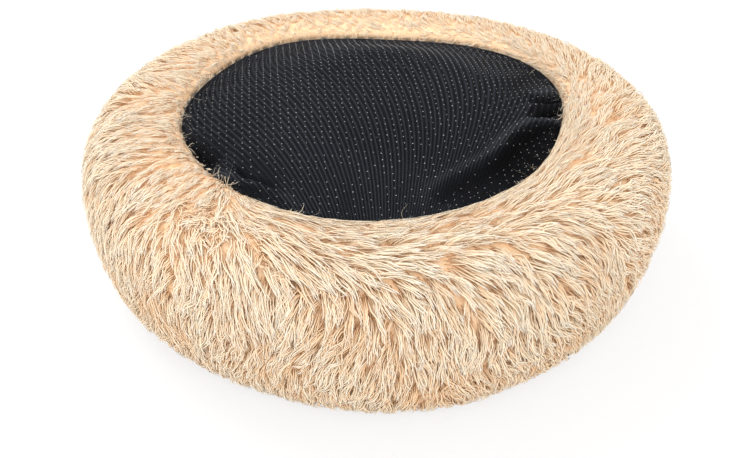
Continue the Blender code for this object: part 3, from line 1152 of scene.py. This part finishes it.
def along_route(route, x, y, count=48):
    """Signed distance of places to a smooth route, and the share of the way along it.

    Formula: the nearest of many points of the curve; the distance is positive on the side
    away from the middle of the cloth.
    """
    points = np.array(route, float)
    line = smooth_line(points, np.linspace(0.0, len(points) - 1.0, count))
    step = normalised(np.gradient(line, axis=0))
    gap_x, gap_y = x[..., None] - line[:, 0], y[..., None] - line[:, 1]
    nearest = np.hypot(gap_x, gap_y).argmin(axis=-1)
    gap_x = np.take_along_axis(gap_x, nearest[..., None], -1)[..., 0]
    gap_y = np.take_along_axis(gap_y, nearest[..., None], -1)[..., 0]
    across = gap_x * step[nearest, 1] - gap_y * step[nearest, 0]
    middle = points[len(points) // 2]
    turn = step[count // 2]
    sign = np.sign(middle[0] * turn[1] - middle[1] * turn[0])
    size = np.hypot(gap_x, gap_y)
    return sign * np.where(across < 0.0, -size, size), nearest / (count - 1.0)


def crease_field(x, y):
    """How far creases and ridges lift the cloth at places given as shares of the seam's radius.

    Formula: each adds its height times a bell of the distance to its route over its half
    width, and fades out at its last point.
    """
    lift = np.zeros_like(x)
    for route, height, half in CREASE_SHARES:
        distance, share = along_route(route, x, y)
        fade = soft_step(1.0 - share, 0.0, 0.35)
        lift += height * bell(distance, half) * fade
    return lift


def shelf_field(x, y):
    """What shelves leave of the crown, and how far their edges stand up, at such places.

    Formula: beyond a route the crown loses its share over the width of the drop; the edge
    is a bell half a width before it. Both fade at the route's ends.
    """
    left, edge = np.ones_like(x), np.zeros_like(x)
    for route, loss, width, height in SHELF_SHARES:
        distance, share = along_route(route, x, y)
        fade = soft_step(share, -0.10, 0.06) * soft_step(1.0 - share, 0.0, 0.15)
        left *= 1.0 - loss * fade * soft_step(distance, 0.0, width)
        edge += height * fade * bell(distance + 0.4 * width, 0.6 * width)
    return left, edge


def smooth_line(points, stations):
    """Catmull-Rom curve through points, read at stations counted in points."""
    ends = np.concatenate([[2 * points[0] - points[1]], points, [2 * points[-1] - points[-2]]])
    first = np.clip(stations.astype(int), 0, len(points) - 2)
    t = (stations - first)[:, None]
    a, b, c, d = (ends[first + k] for k in range(4))
    return 0.5 * (
        2 * b + (c - a) * t + (2 * a - 5 * b + 4 * c - d) * t**2 + (3 * b - a - 3 * c + d) * t**3
    )


def cloth_reach(azimuth):
    """Radius of the cloth's rim at an azimuth: over the seam, just short of the pile."""
    return (SEAM_HIGH[0] - 0.6 * MM) * seam_share(azimuth)


def cloth_height(x, y):
    """Height of the base cloth's upper face, before the bed settles.

    Formula: a crown of the power 2.2 of the distance from the axis, cut back at the
    shelves, plus creases and ridges, less puckers that grow towards the seam, plus broad
    stuffing lumps; where that lies deeper than DEEPEST_FOLD, the limit itself.
    """
    azimuth = np.arctan2(y, x)
    reach = cloth_reach(azimuth)
    out = np.hypot(x, y) / reach
    rise = CLOTH_HIGH[2] - SEAM_HIGH[2]
    crown = rise * (1.0 - np.clip(out, 0.0, 1.0) ** 2.2)
    unit = SEAM_HIGH[0]
    left, edge = shelf_field(x / unit, y / unit)
    inside = 1.0 - soft_step(out, 0.96, 1.0)
    folds = unit * (crease_field(x / unit, y / unit) + edge) * inside
    near_rim = soft_step(out, 0.78, 0.97)
    pucker = 1.1 * MM * near_rim * (1.0 + ripples(azimuth, out, SEED + 5, 52, 1.0))
    lumps = 1.5 * MM * ripples(2.2 * x / reach, y / reach, SEED + 6, 2, 0.8)
    lumps = lumps * (1.0 - np.clip(out, 0.0, 1.0) ** 2)
    rim = 1.2 * MM * soft_step(out, 0.95, 1.0)
    height = SEAM_HIGH[2] + crown * left + folds - pucker * inside + lumps - rim
    return np.maximum(height, SEAM_HIGH[2] - DEEPEST_FOLD)


def painted_fold_shading(x, y):
    """Painted shade and highlight of the cloth's folds: 0.75 on the crown, 1 on ridges, towards 0
    deep in its folds.

    Formula: three quarters of the product of one less a bell for each crease and one less
    the step of each shelf, plus a quarter of the bells of the ridges.
    """
    unit = SEAM_HIGH[0]
    x, y = x / unit, y / unit
    shade, painted_highlight = np.ones_like(x), np.zeros_like(x)
    for route, height, half in CREASE_SHARES:
        distance, share = along_route(route, x, y)
        fade = soft_step(1.0 - share, 0.0, 0.45)
        # Creases get painted shade, ridges a painted highlight.
        if height < 0.0:
            fade = fade * min(1.0, -height / 0.034)
            shade *= 1.0 - 0.97 * fade * bell(distance, 1.3 * half)
        else:
            painted_highlight += fade * bell(distance, half)
    for route, loss, width, _ in SHELF_SHARES:
        distance, share = along_route(route, x, y)
        fade = soft_step(share, -0.10, 0.06) * soft_step(1.0 - share, 0.0, 0.20)
        # Painted shade on the skirt beyond each shelf, and a painted highlight along its edge.
        beyond = soft_step(distance, 0.0, 0.35 * width)
        beyond = beyond * (1.0 - 0.45 * soft_step(distance, 1.5 * width, 6.0 * width))
        beyond = beyond * (1.0 - 0.45 * soft_step(share, 0.45, 0.75))
        shade *= 1.0 - 0.9 * loss * fade * beyond
        edge = bell(distance + 0.45 * width, 0.5 * width)
        painted_highlight += 0.8 * fade * edge * (1.0 - 0.6 * soft_step(share, 0.35, 0.7))
    return np.clip(0.75 * shade + 0.25 * painted_highlight, 0.0, 1.0)


def rib_phase(x, y):
    """Which rib crosses a place of the cloth: whole numbers lie in the grooves.

    Formula: the sum of the factors of RIB_TERMS times the powers of x and y, both as
    shares of the seam's radius.
    """
    x, y = x / SEAM_HIGH[0], y / SEAM_HIGH[0]
    total = np.zeros_like(x)
    for power, factors in enumerate(RIB_TERMS):
        total += x**power * np.polynomial.polynomial.polyval(y, factors)
    return total


class PETBED_OT_bolster(bpy.types.Operator):
    """Make the ring's knitted backing, its fibre filling and the join of its strip"""

    bl_idname = "petbed.bolster"
    bl_label = "Ring"

    def execute(self, context):
        scene = context.scene
        shape, look = scene.bed_shape, scene.pile_look
        section = Section(shape)
        azimuth = np.linspace(-math.pi, math.pi, 180, endpoint=False)[:, None]
        share = np.linspace(0.0, 1.0, 100)[None]
        outside = root_inset(section, shape, share)
        inside = np.maximum(outside + 1.5 * MM, shape.pile_depth - 0.6 * MM)
        inside = inside + (3.0 * MM - inside) * section.lip_fade(share, 0.012)
        outer, normal, _, _ = ring_points(section, shape, azimuth, share, outside)
        bumps = 0.5 * MM * ripples(azimuth, share, SEED + 8, 60, 24.0, 24)
        outer += normal * (bumps * (1.0 - section.lip_fade(share, 0.02)))[..., None]
        inner = ring_points(section, shape, azimuth, share, inside)[0][:, ::-1]
        backing = shared_material("knitted_backing", backing_material, look)
        skin = torus("bolster_backing", np.concatenate([outer, inner], axis=1), backing)
        place(skin, "bolster_cover", "nest_wall", slot="plush")

        share = np.linspace(0.0, 1.0, 72)[None]
        depth = shape.pile_depth + 1.0 * MM
        depth = depth + 1.5 * MM * (1.0 + ripples(azimuth[::2], share, SEED + 9, 18, 8.0))
        depth = depth + (6.0 * MM - depth) * section.lip_fade(share, 0.02)
        ring = ring_points(section, shape, azimuth[::2], share, depth)[0]
        fibre = shared_material("polyester_fibre", fibre_material)
        filling = torus("bolster_fibre", ring, fibre)
        place(filling, "bolster_fill", slot="fibre")

        low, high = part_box("cover_join_seam")
        middle = 0.5 * (low + high)
        turn = math.atan2(middle[1], middle[0])
        share = np.linspace(0.10, 0.90, 200)[:, None]
        edge = np.array([-1.0, -0.3, 0.3, 1.0, 1.0, 0.3, -0.3, -1.0])[None]
        deep = np.array([0.0, -0.3, -0.3, 0.0, 1.2, 1.5, 1.5, 1.2])[None] * MM
        stitch = 0.25 * MM * np.abs(np.sin(math.pi * 110.0 * share))
        inset = shape.pile_depth + 0.1 * MM + deep + np.sign(deep - 0.5 * MM) * stitch
        radius = section.at(share)[0]
        band = ring_points(
            section, shape, turn + 5.5 * MM * edge / radius, share + 0.0 * edge, inset
        )[0]
        thread = shared_material("overlock_thread", thread_material, look)
        join = capped_tube("strip_join_seam", band, thread)
        place(join, "cover_join_seam", slot="thread")
        return {"FINISHED"}


def add_wisps(section, shape, rng, material):
    """Tufts and single hairs of the pile that hang over the ring seam."""
    tufts = np.radians(np.repeat(TUFT_DEGREES, TUFT_HAIRS))
    azimuth = np.append(tufts, rng.uniform(-math.pi, math.pi, SINGLE_HAIRS))
    wisps = len(azimuth)
    azimuth = azimuth + rng.normal(0.0, 0.010, wisps)
    share = rng.uniform(0.003, 0.014, wisps)
    root = ring_points(section, shape, azimuth, share, 0.2 * MM)[0]
    inward = -np.stack([np.cos(azimuth), np.sin(azimuth), 0.0 * azimuth], axis=1)
    sweep = np.append(
        np.repeat(rng.uniform(-1.4, 1.4, len(TUFT_DEGREES)), TUFT_HAIRS),
        rng.normal(0.0, 1.0, SINGLE_HAIRS),
    )
    sweep += rng.normal(0.0, 0.16, wisps)
    way = swung(sweep, inward, np.cross(UP, inward))
    way = normalised(way + rng.uniform(0.10, 0.35, wisps)[:, None] * UP)
    length = rng.uniform(5.0, 10.0, wisps) * MM
    length[-SINGLE_HAIRS:] = rng.uniform(5.0, 16.0, SINGLE_HAIRS) * MM
    in_tuft = np.arange(wisps) < len(tufts)
    thick = np.where(in_tuft, 0.5, 0.18) * MM
    bent = np.where(in_tuft, 2.0, 4.0)[:, None]
    up = np.tile(UP, (wisps, 1))
    paths, *others = simple_hairs(root, way, up, length, thick, rng, 0.25, 8, bent)
    tints = rng.uniform(0.9, 0.99, wisps)
    piece = strand_mesh("seam_wisps", settle(paths), *others, tints, material)
    place(piece, slot="plush")


def add_lint(rng):
    """Short loose fibres on the base cloth, most of them at its front rim."""
    azimuth = rng.normal(-1.65, 0.95, LINT_HAIRS)
    reach = cloth_reach(azimuth) * (1.0 - np.abs(rng.normal(0.0, 0.04, LINT_HAIRS)) - 0.005)
    x, y = reach * np.cos(azimuth), reach * np.sin(azimuth)
    root = np.stack([x, y, cloth_height(x, y) + 0.1 * MM], axis=1)
    turn = rng.uniform(0.0, math.tau, LINT_HAIRS)
    rise = rng.uniform(0.05, 0.5, LINT_HAIRS)
    way = normalised(np.stack([np.cos(turn), np.sin(turn), rise], axis=1))
    up = np.tile(UP, (LINT_HAIRS, 1))
    length = rng.uniform(1.0, 4.0, LINT_HAIRS) * MM
    paths, *others = simple_hairs(root, way, up, length, 0.07 * MM, rng, 0.3, 5, 2.5)
    tints = rng.uniform(0.6, 0.99, LINT_HAIRS)
    white = shared_material("polyester_fibre", fibre_material)
    piece = strand_mesh("base_lint", settle(paths), *others, tints, white)
    place(piece, slot="fibre")


class PETBED_OT_pile(bpy.types.Operator):
    """Comb the long pile over the ring, in sectors, with the loose hairs at the seam"""

    bl_idname = "petbed.pile"
    bl_label = "Long pile"

    def execute(self, context):
        scene = context.scene
        shape, look = scene.bed_shape, scene.pile_look
        section = Section(shape)
        rng = np.random.default_rng(SEED)
        azimuth, share = spread_places(section, look.locks, rng)
        material = shared_material("long_pile", pile_material, look)
        outside = share < NEST_SIDE
        fine = np.array([0.0, 0.22, 0.44, 0.66, 0.86, 1.0])
        plain = np.array([0.0, 0.4, 0.8, 1.0])
        for places, way, name, parts in (
            (outside, fine, "bolster_pile", SECTORS),
            (~outside, plain, "nest_side_pile", 1),
        ):
            at, low = azimuth[places], share[places]
            strands = lay_strands(section, shape, look, at, low, rng, way)
            turned = (np.repeat(at, look.strands) + math.pi) % math.tau
            sector = (turned / math.tau * parts).astype(int) % parts
            for number in range(parts):
                chosen = [values[sector == number] for values in strands]
                piece = strand_mesh(f"{name}_{number + 1:02d}", *chosen, material, way)
                place(piece, slot="plush")
        add_wisps(section, shape, rng, material)
        add_lint(rng)
        return {"FINISHED"}


def nest_height(section, radius):
    """Height of the nest cloth's underside: on the ring's nest wall, and a belly inside it."""
    climbing = section.share > 0.80
    wall_radius, wall_height = section.radius[climbing], section.height[climbing]
    edge = 0.145
    on_wall = np.interp(np.maximum(radius, edge), wall_radius, wall_height)
    belly = 4.0 * MM * (1.0 - np.minimum(radius / edge, 1.0) ** 2)
    return on_wall + 0.3 * MM - belly


class PETBED_OT_pad(bpy.types.Operator):
    """Make the pad under the base cloth: its fibre, the nest cloth and the nest's pile"""

    bl_idname = "petbed.pad"
    bl_label = "Pad and nest"

    def execute(self, context):
        scene = context.scene
        shape, look = scene.bed_shape, scene.pile_look
        section = Section(shape)
        rng = np.random.default_rng(SEED + 20)
        azimuth = np.linspace(-math.pi, math.pi, 144, endpoint=False)[None]
        out = np.linspace(0.0, 1.0, 41)[1:, None] ** 0.8
        reach = 0.965 * SEAM_LOW_RADIUS * np.minimum(seam_share(azimuth), 1.0)
        x, y = out * reach * np.cos(azimuth), out * reach * np.sin(azimuth)
        radius = np.hypot(x, y)
        quilt = 0.8 * MM * (1.0 + ripples(3.0 * x / reach, 3.0 * y / reach, SEED + 21, 2, 1.0))
        low = nest_height(section, radius) + quilt * (1.0 - out**4)
        top = cloth_height(x, y) - (3.5 + 2.0 * out**8) * MM
        beside = [np.roll(top, turn, axis=1) for turn in (-2, -1, 1, 2)]
        top = np.minimum.reduce([top, *beside])
        top[1:-1] = np.minimum.reduce([top[:-2], top[1:-1], top[2:]])
        top[-1] = np.minimum(top[-1], top[-2])
        low = np.minimum(low, top - 4.5 * MM)
        high = low + 3.0 * MM
        backing = shared_material("knitted_backing", backing_material, look)
        skin = lens("nest_backing", x, y, low, high, backing)
        place(skin, "nest_cloth", slot="plush")

        bottom = high + 0.4 * MM
        fibre = shared_material("polyester_fibre", fibre_material)
        filling = lens("base_fibre", x, y, bottom, top, fibre)
        place(filling, "base_fill", slot="fibre")

        order = np.arange(NEST_HAIRS) + 0.5
        reach = 0.150 * np.sqrt(order / NEST_HAIRS)
        angle = order * GOLDEN_ANGLE
        x, y = reach * np.cos(angle), reach * np.sin(angle)
        root = np.stack([x, y, nest_height(section, reach) + 0.6 * MM], axis=1)
        sweep = 1.2 * ripples(x / 0.08, y / 0.08, SEED + 22, 2, 0.6)
        way = np.stack([np.cos(sweep), np.sin(sweep), -0.55 + 0.0 * x], axis=1)
        way = normalised(way + rng.normal(0.0, 0.18, way.shape))
        down = np.tile(-UP, (NEST_HAIRS, 1))
        length = rng.uniform(16.0, 26.0, NEST_HAIRS) * MM
        hairs = simple_hairs(root, way, down, length, 2.2 * MM, rng, 0.1)
        tints = np.clip(rng.normal(0.55, 0.2, NEST_HAIRS), 0.0, 0.99)
        material = shared_material("long_pile", pile_material, look)
        place(strand_mesh("nest_pile", *hairs, tints, material), slot="plush")
        return {"FINISHED"}


def lens(name, x, y, low, high, material):
    """A closed round body between two heights on one polar grid without its middle point."""
    rings, columns = x.shape
    faces = []
    points = []
    for height, upper in ((low, False), (high, True)):
        start = len(points)
        middle = [0.0, 0.0, float(height[0].mean())]
        grid = np.stack([x, y, height], axis=-1).reshape(-1, 3)
        points = np.concatenate([np.reshape(points, (-1, 3)), [middle], grid])
        body = grid_faces(rings, columns, False, True) + start + 1
        fan = np.stack(
            [
                np.full(columns, start),
                start + 1 + (np.arange(columns) + 1) % columns,
                start + 1 + np.arange(columns),
            ],
            axis=1,
        )
        if upper:
            body, fan = body[:, ::-1], fan[:, ::-1]
        faces += body.tolist() + fan.tolist()
    rim = 1 + (rings - 1) * columns + np.arange(columns)
    beside = 1 + (rings - 1) * columns + (np.arange(columns) + 1) % columns
    above = rings * columns + 1
    faces += np.stack([rim, beside, beside + above, rim + above], axis=1).tolist()
    made = add_mesh(name, settle(points), faces, material)
    turn_out(made)
    return made


class PETBED_OT_base_cloth(bpy.types.Operator):
    """Make the ribbed non-slip cloth with its folds"""

    bl_idname = "petbed.base_cloth"
    bl_label = "Base cloth"

    def execute(self, context):
        look = context.scene.cloth_look
        azimuth = np.linspace(-math.pi, math.pi, 470, endpoint=False)[None]
        azimuth = azimuth - 0.45 * np.sin(azimuth + 0.25)
        out = np.linspace(0.0, 1.0, 105)[1:, None] ** 0.78
        x = out * cloth_reach(azimuth) * np.cos(azimuth)
        y = out * cloth_reach(azimuth) * np.sin(azimuth)
        high = cloth_height(x, y)
        cloth = shared_material("ribbed_grip_cloth", grip_cloth_material, look)
        piece = lens("base_grip_cloth", x, y, high - look.thickness, high, cloth)
        mesh = piece.data
        corner = np.empty(len(mesh.loops), dtype=np.int32)
        mesh.loops.foreach_get("vertex_index", corner)
        flat_x = np.tile(np.append(0.0, x.ravel()), 2)
        flat_y = np.tile(np.append(0.0, y.ravel()), 2)
        # The map holds each place's rib and the painted shade and highlight of the folds.
        values = np.stack([rib_phase(flat_x, flat_y), painted_fold_shading(flat_x, flat_y)], axis=1)
        mesh.uv_layers.new(name="ribs").data.foreach_set(
            "uv", values[corner].astype(np.float32).ravel()
        )
        place(piece, "base_cloth", slot="grip_cloth")
        return {"FINISHED"}


class PETBED_OT_grip_dots(bpy.types.Operator):
    """Print the grip dots in rows on the base cloth"""

    bl_idname = "petbed.grip_dots"
    bl_label = "Grip dots"

    def execute(self, context):
        look = context.scene.cloth_look
        rng = np.random.default_rng(SEED + 30)
        pitch, run = look.dot_column_pitch, look.dot_pitch
        column, row = np.meshgrid(np.arange(-32, 33), np.arange(-32, 33), indexing="ij")
        column, row = column.ravel(), row.ravel()
        x = column * pitch + 0.10 * row * run + 0.15 * MM * rng.normal(size=row.size)
        y = -0.12 * column * pitch - row * run + 0.15 * MM * rng.normal(size=row.size)
        kept = np.hypot(x, y) < 0.975 * cloth_reach(np.arctan2(y, x))
        kept &= rng.random(x.size) < 0.96 - 0.25 * soft_step(-y, 0.06, 0.16)
        x, y = x[kept], y[kept]
        step = 0.3 * MM
        height = cloth_height(x, y)
        slope_x = (cloth_height(x + step, y) - height) / step
        slope_y = (cloth_height(x, y + step) - height) / step
        normal = normalised(np.stack([-slope_x, -slope_y, np.ones_like(x)], axis=1))
        side = normalised(np.cross([0.0, 1.0, 0.0], normal))
        forward = np.cross(normal, side)
        sides = 6
        angle = np.arange(sides) * math.tau / sides
        size = look.dot_width * rng.uniform(0.8, 1.15, len(x))
        base = np.stack([x, y, height], axis=1)
        rings = []
        for share, lift in ((1.0, -0.15), (0.6, 0.28)):
            out = 0.5 * share * size[:, None, None] * (
                1.25 * np.cos(angle)[None, :, None] * side[:, None]
                + 0.75 * np.sin(angle)[None, :, None] * forward[:, None]
            )
            rings.append(base[:, None] + out + lift * MM * normal[:, None])
        points = settle(np.concatenate(rings, axis=1))
        each = 2 * sides
        faces = []
        for k in range(sides):
            a, b = k, (k + 1) % sides
            faces += [[a, b, b + sides], [a, b + sides, a + sides]]
        faces += [[sides, sides + k, sides + k + 1] for k in range(1, sides - 1)]
        faces += [[0, k + 1, k] for k in range(1, sides - 1)]
        faces = np.array(faces)
        offset = (np.arange(len(x)) * each)[:, None, None]
        silicone = shared_material("grip_dot_silicone", dot_material, look)
        piece = add_mesh(
            "grip_dots", points.reshape(-1, 3), (faces[None] + offset).reshape(-1, 3), silicone
        )
        place(piece, slot="grip_cloth")
        return {"FINISHED"}


class PETBED_OT_seams(bpy.types.Operator):
    """Sew the ring seam: overlocked all round, closed by hand where the filling went in"""

    bl_idname = "petbed.seams"
    bl_label = "Seams"

    def execute(self, context):
        look = context.scene.pile_look
        thread = shared_material("overlock_thread", thread_material, look)
        low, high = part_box("closing_seam")
        corners = [(x, y) for x in (low[0], high[0]) for y in (low[1], high[1])]
        angles = [math.atan2(y, x) for x, y in corners]
        start, end = min(angles), max(angles)
        pieces = (
            ("ring_seam", "edge_seam", end, start + math.tau, 3.0 * MM),
            ("closing_stitches", "closing_seam", start, end, 7.0 * MM),
        )
        for name, node, first, last, stitch in pieces:
            length = (last - first) * SEAM_HIGH[0]
            stitches = int(length / stitch)
            rows = 4 * stitches + 1
            azimuth = np.linspace(first + 0.002, last - 0.002, rows)[:, None]
            angle = np.linspace(0.0, math.tau, 10, endpoint=False)[None]
            loop = 0.35 * MM * np.abs(np.sin(math.pi * stitches * np.linspace(0, 1, rows)))
            half_width = 0.5 * (SEAM_HIGH[0] - SEAM_LOW_RADIUS) - 0.5 * MM
            half_height = 0.5 * (SEAM_HIGH[2] - SEAM_LOW[2]) - 0.5 * MM
            middle = 0.5 * (SEAM_HIGH[0] + SEAM_LOW_RADIUS)
            height = 0.5 * (SEAM_HIGH[2] + SEAM_LOW[2]) - 3.5 * MM
            round_x, round_z = (
                np.sign(turn) * np.abs(turn) ** 0.6 for turn in (np.cos(angle), np.sin(angle))
            )
            radius = middle * seam_share(azimuth) + (half_width + loop[:, None]) * round_x
            inner = 0.965 * cloth_reach(azimuth)
            drop = SEAM_HIGH[2] - cloth_height(inner * np.cos(azimuth), inner * np.sin(azimuth))
            drop = np.maximum.reduce([np.roll(drop, turn, axis=0) for turn in range(-6, 7, 2)])
            z = height - np.clip(drop, 0.0, None) + (half_height + loop[:, None]) * round_z
            points = np.stack(
                [radius * np.cos(azimuth), radius * np.sin(azimuth), z], axis=-1
            )
            place(capped_tube(name, points, thread), node, slot="thread")
        return {"FINISHED"}


class PETBED_OT_stage(bpy.types.Operator):
    """Set the floor, the lamps, the world and the camera of the photograph"""

    bl_idname = "petbed.stage"
    bl_label = "Stage"

    def execute(self, context):
        scene = context.scene
        look = scene.stage_look
        sides = 96
        angle = np.linspace(0.0, math.tau, sides, endpoint=False)
        rings = look.floor_radius * np.array([0.05, 0.2, 0.5, 1.0])[:, None]
        points = np.stack(
            [rings * np.cos(angle), rings * np.sin(angle), 0.0 * rings * angle], axis=-1
        )
        faces = grid_faces(len(rings), sides, False, True)[:, ::-1].tolist()
        faces.append(list(range(sides)))
        floor = add_mesh("floor", points.reshape(-1, 3), faces, floor_material())

        lamps = (
            ("key_lamp", (-2.4, 1.8, 4.0), 3.0, 110.0),
            ("fill_lamp", (0.3, -3.3, 3.1), 3.0, 84.0),
        )
        for name, spot, size, power in lamps:
            light = bpy.data.lights.new(name, "AREA")
            light.shape = "DISK"
            light.size = size
            light.energy = power
            lamp = bpy.data.objects.new(name, light)
            lamp.location = spot
            lamp.rotation_euler = aim(spot, (0.0, 0.0, 0.1))
            scene.collection.objects.link(lamp)

        world = bpy.data.worlds.new("studio")
        scene.world = world
        world.use_nodes = True
        tree = world.node_tree
        ground = tree.nodes["Background"]
        ground.inputs["Color"].default_value = (1.0, 1.0, 1.0, 1.0)
        path = tree.nodes.new("ShaderNodeLightPath")
        seen = path.outputs["Is Camera Ray"]
        for ray in ("Is Glossy Ray", "Is Transmission Ray"):
            either = add_node(tree, "ShaderNodeMath", operation="MAXIMUM")
            tree.links.new(seen, either.inputs[0])
            tree.links.new(path.outputs[ray], either.inputs[1])
            seen = either.outputs[0]
        strength = add_node(tree, "ShaderNodeMapRange")
        strength.inputs["To Min"].default_value = 0.92
        strength.inputs["To Max"].default_value = 1.0
        tree.links.new(seen, strength.inputs["Value"])
        tree.links.new(strength.outputs["Result"], ground.inputs["Strength"])

        camera = bpy.data.cameras.new("camera")
        camera.sensor_width = 36.0
        camera.lens = look.focal_length
        camera.clip_end = 50.0
        holder = bpy.data.objects.new("camera", camera)
        holder.location = look.camera_place
        holder.rotation_euler = aim(look.camera_place, look.camera_aim)
        scene.collection.objects.link(holder)
        scene.camera = holder
        scene.view_settings.view_transform = "Standard"
        return {"FINISHED"}


def aim(spot, target):
    """Euler angles that point a camera's or a lamp's -Z from a spot to a target."""
    run = [target[k] - spot[k] for k in range(3)]
    flat = math.hypot(run[0], run[1])
    return (math.atan2(flat, -run[2]), 0.0, math.atan2(-run[0], run[1]))


class PETBED_PT_sidebar(bpy.types.Panel):
    """The bed's operators and sizes"""

    bl_idname = "PETBED_PT_sidebar"
    bl_label = "Plush Pet Bed"
    bl_space_type = "VIEW_3D"
    bl_region_type = "UI"
    bl_category = "Pet Bed"

    def draw(self, context):
        for operator in OPERATORS:
            self.layout.operator(operator.bl_idname)
        for name, group in GROUPS.items():
            box = self.layout.box()
            settings = getattr(context.scene, name)
            for key in group.__annotations__:
                box.prop(settings, key)


OPERATORS = (
    PETBED_OT_bolster,
    PETBED_OT_pile,
    PETBED_OT_pad,
    PETBED_OT_base_cloth,
    PETBED_OT_grip_dots,
    PETBED_OT_seams,
    PETBED_OT_stage,
)


def register():
    """Register the groups, the operators and the panel."""
    for name, group in GROUPS.items():
        bpy.utils.register_class(group)
        setattr(bpy.types.Scene, name, bpy.props.PointerProperty(type=group))
    for made in (*OPERATORS, PETBED_PT_sidebar):
        bpy.utils.register_class(made)


def unregister():
    """Take the classes away again, the last first."""
    for made in (PETBED_PT_sidebar, *reversed(OPERATORS)):
        bpy.utils.unregister_class(made)
    for name, group in reversed(GROUPS.items()):
        delattr(bpy.types.Scene, name)
        bpy.utils.unregister_class(group)


def main():
    """Build the bed and its stage."""
    register()
    for operator in OPERATORS:
        family, name = operator.bl_idname.split(".")
        getattr(getattr(bpy.ops, family), name)()


if __name__ == "__main__":
    main()
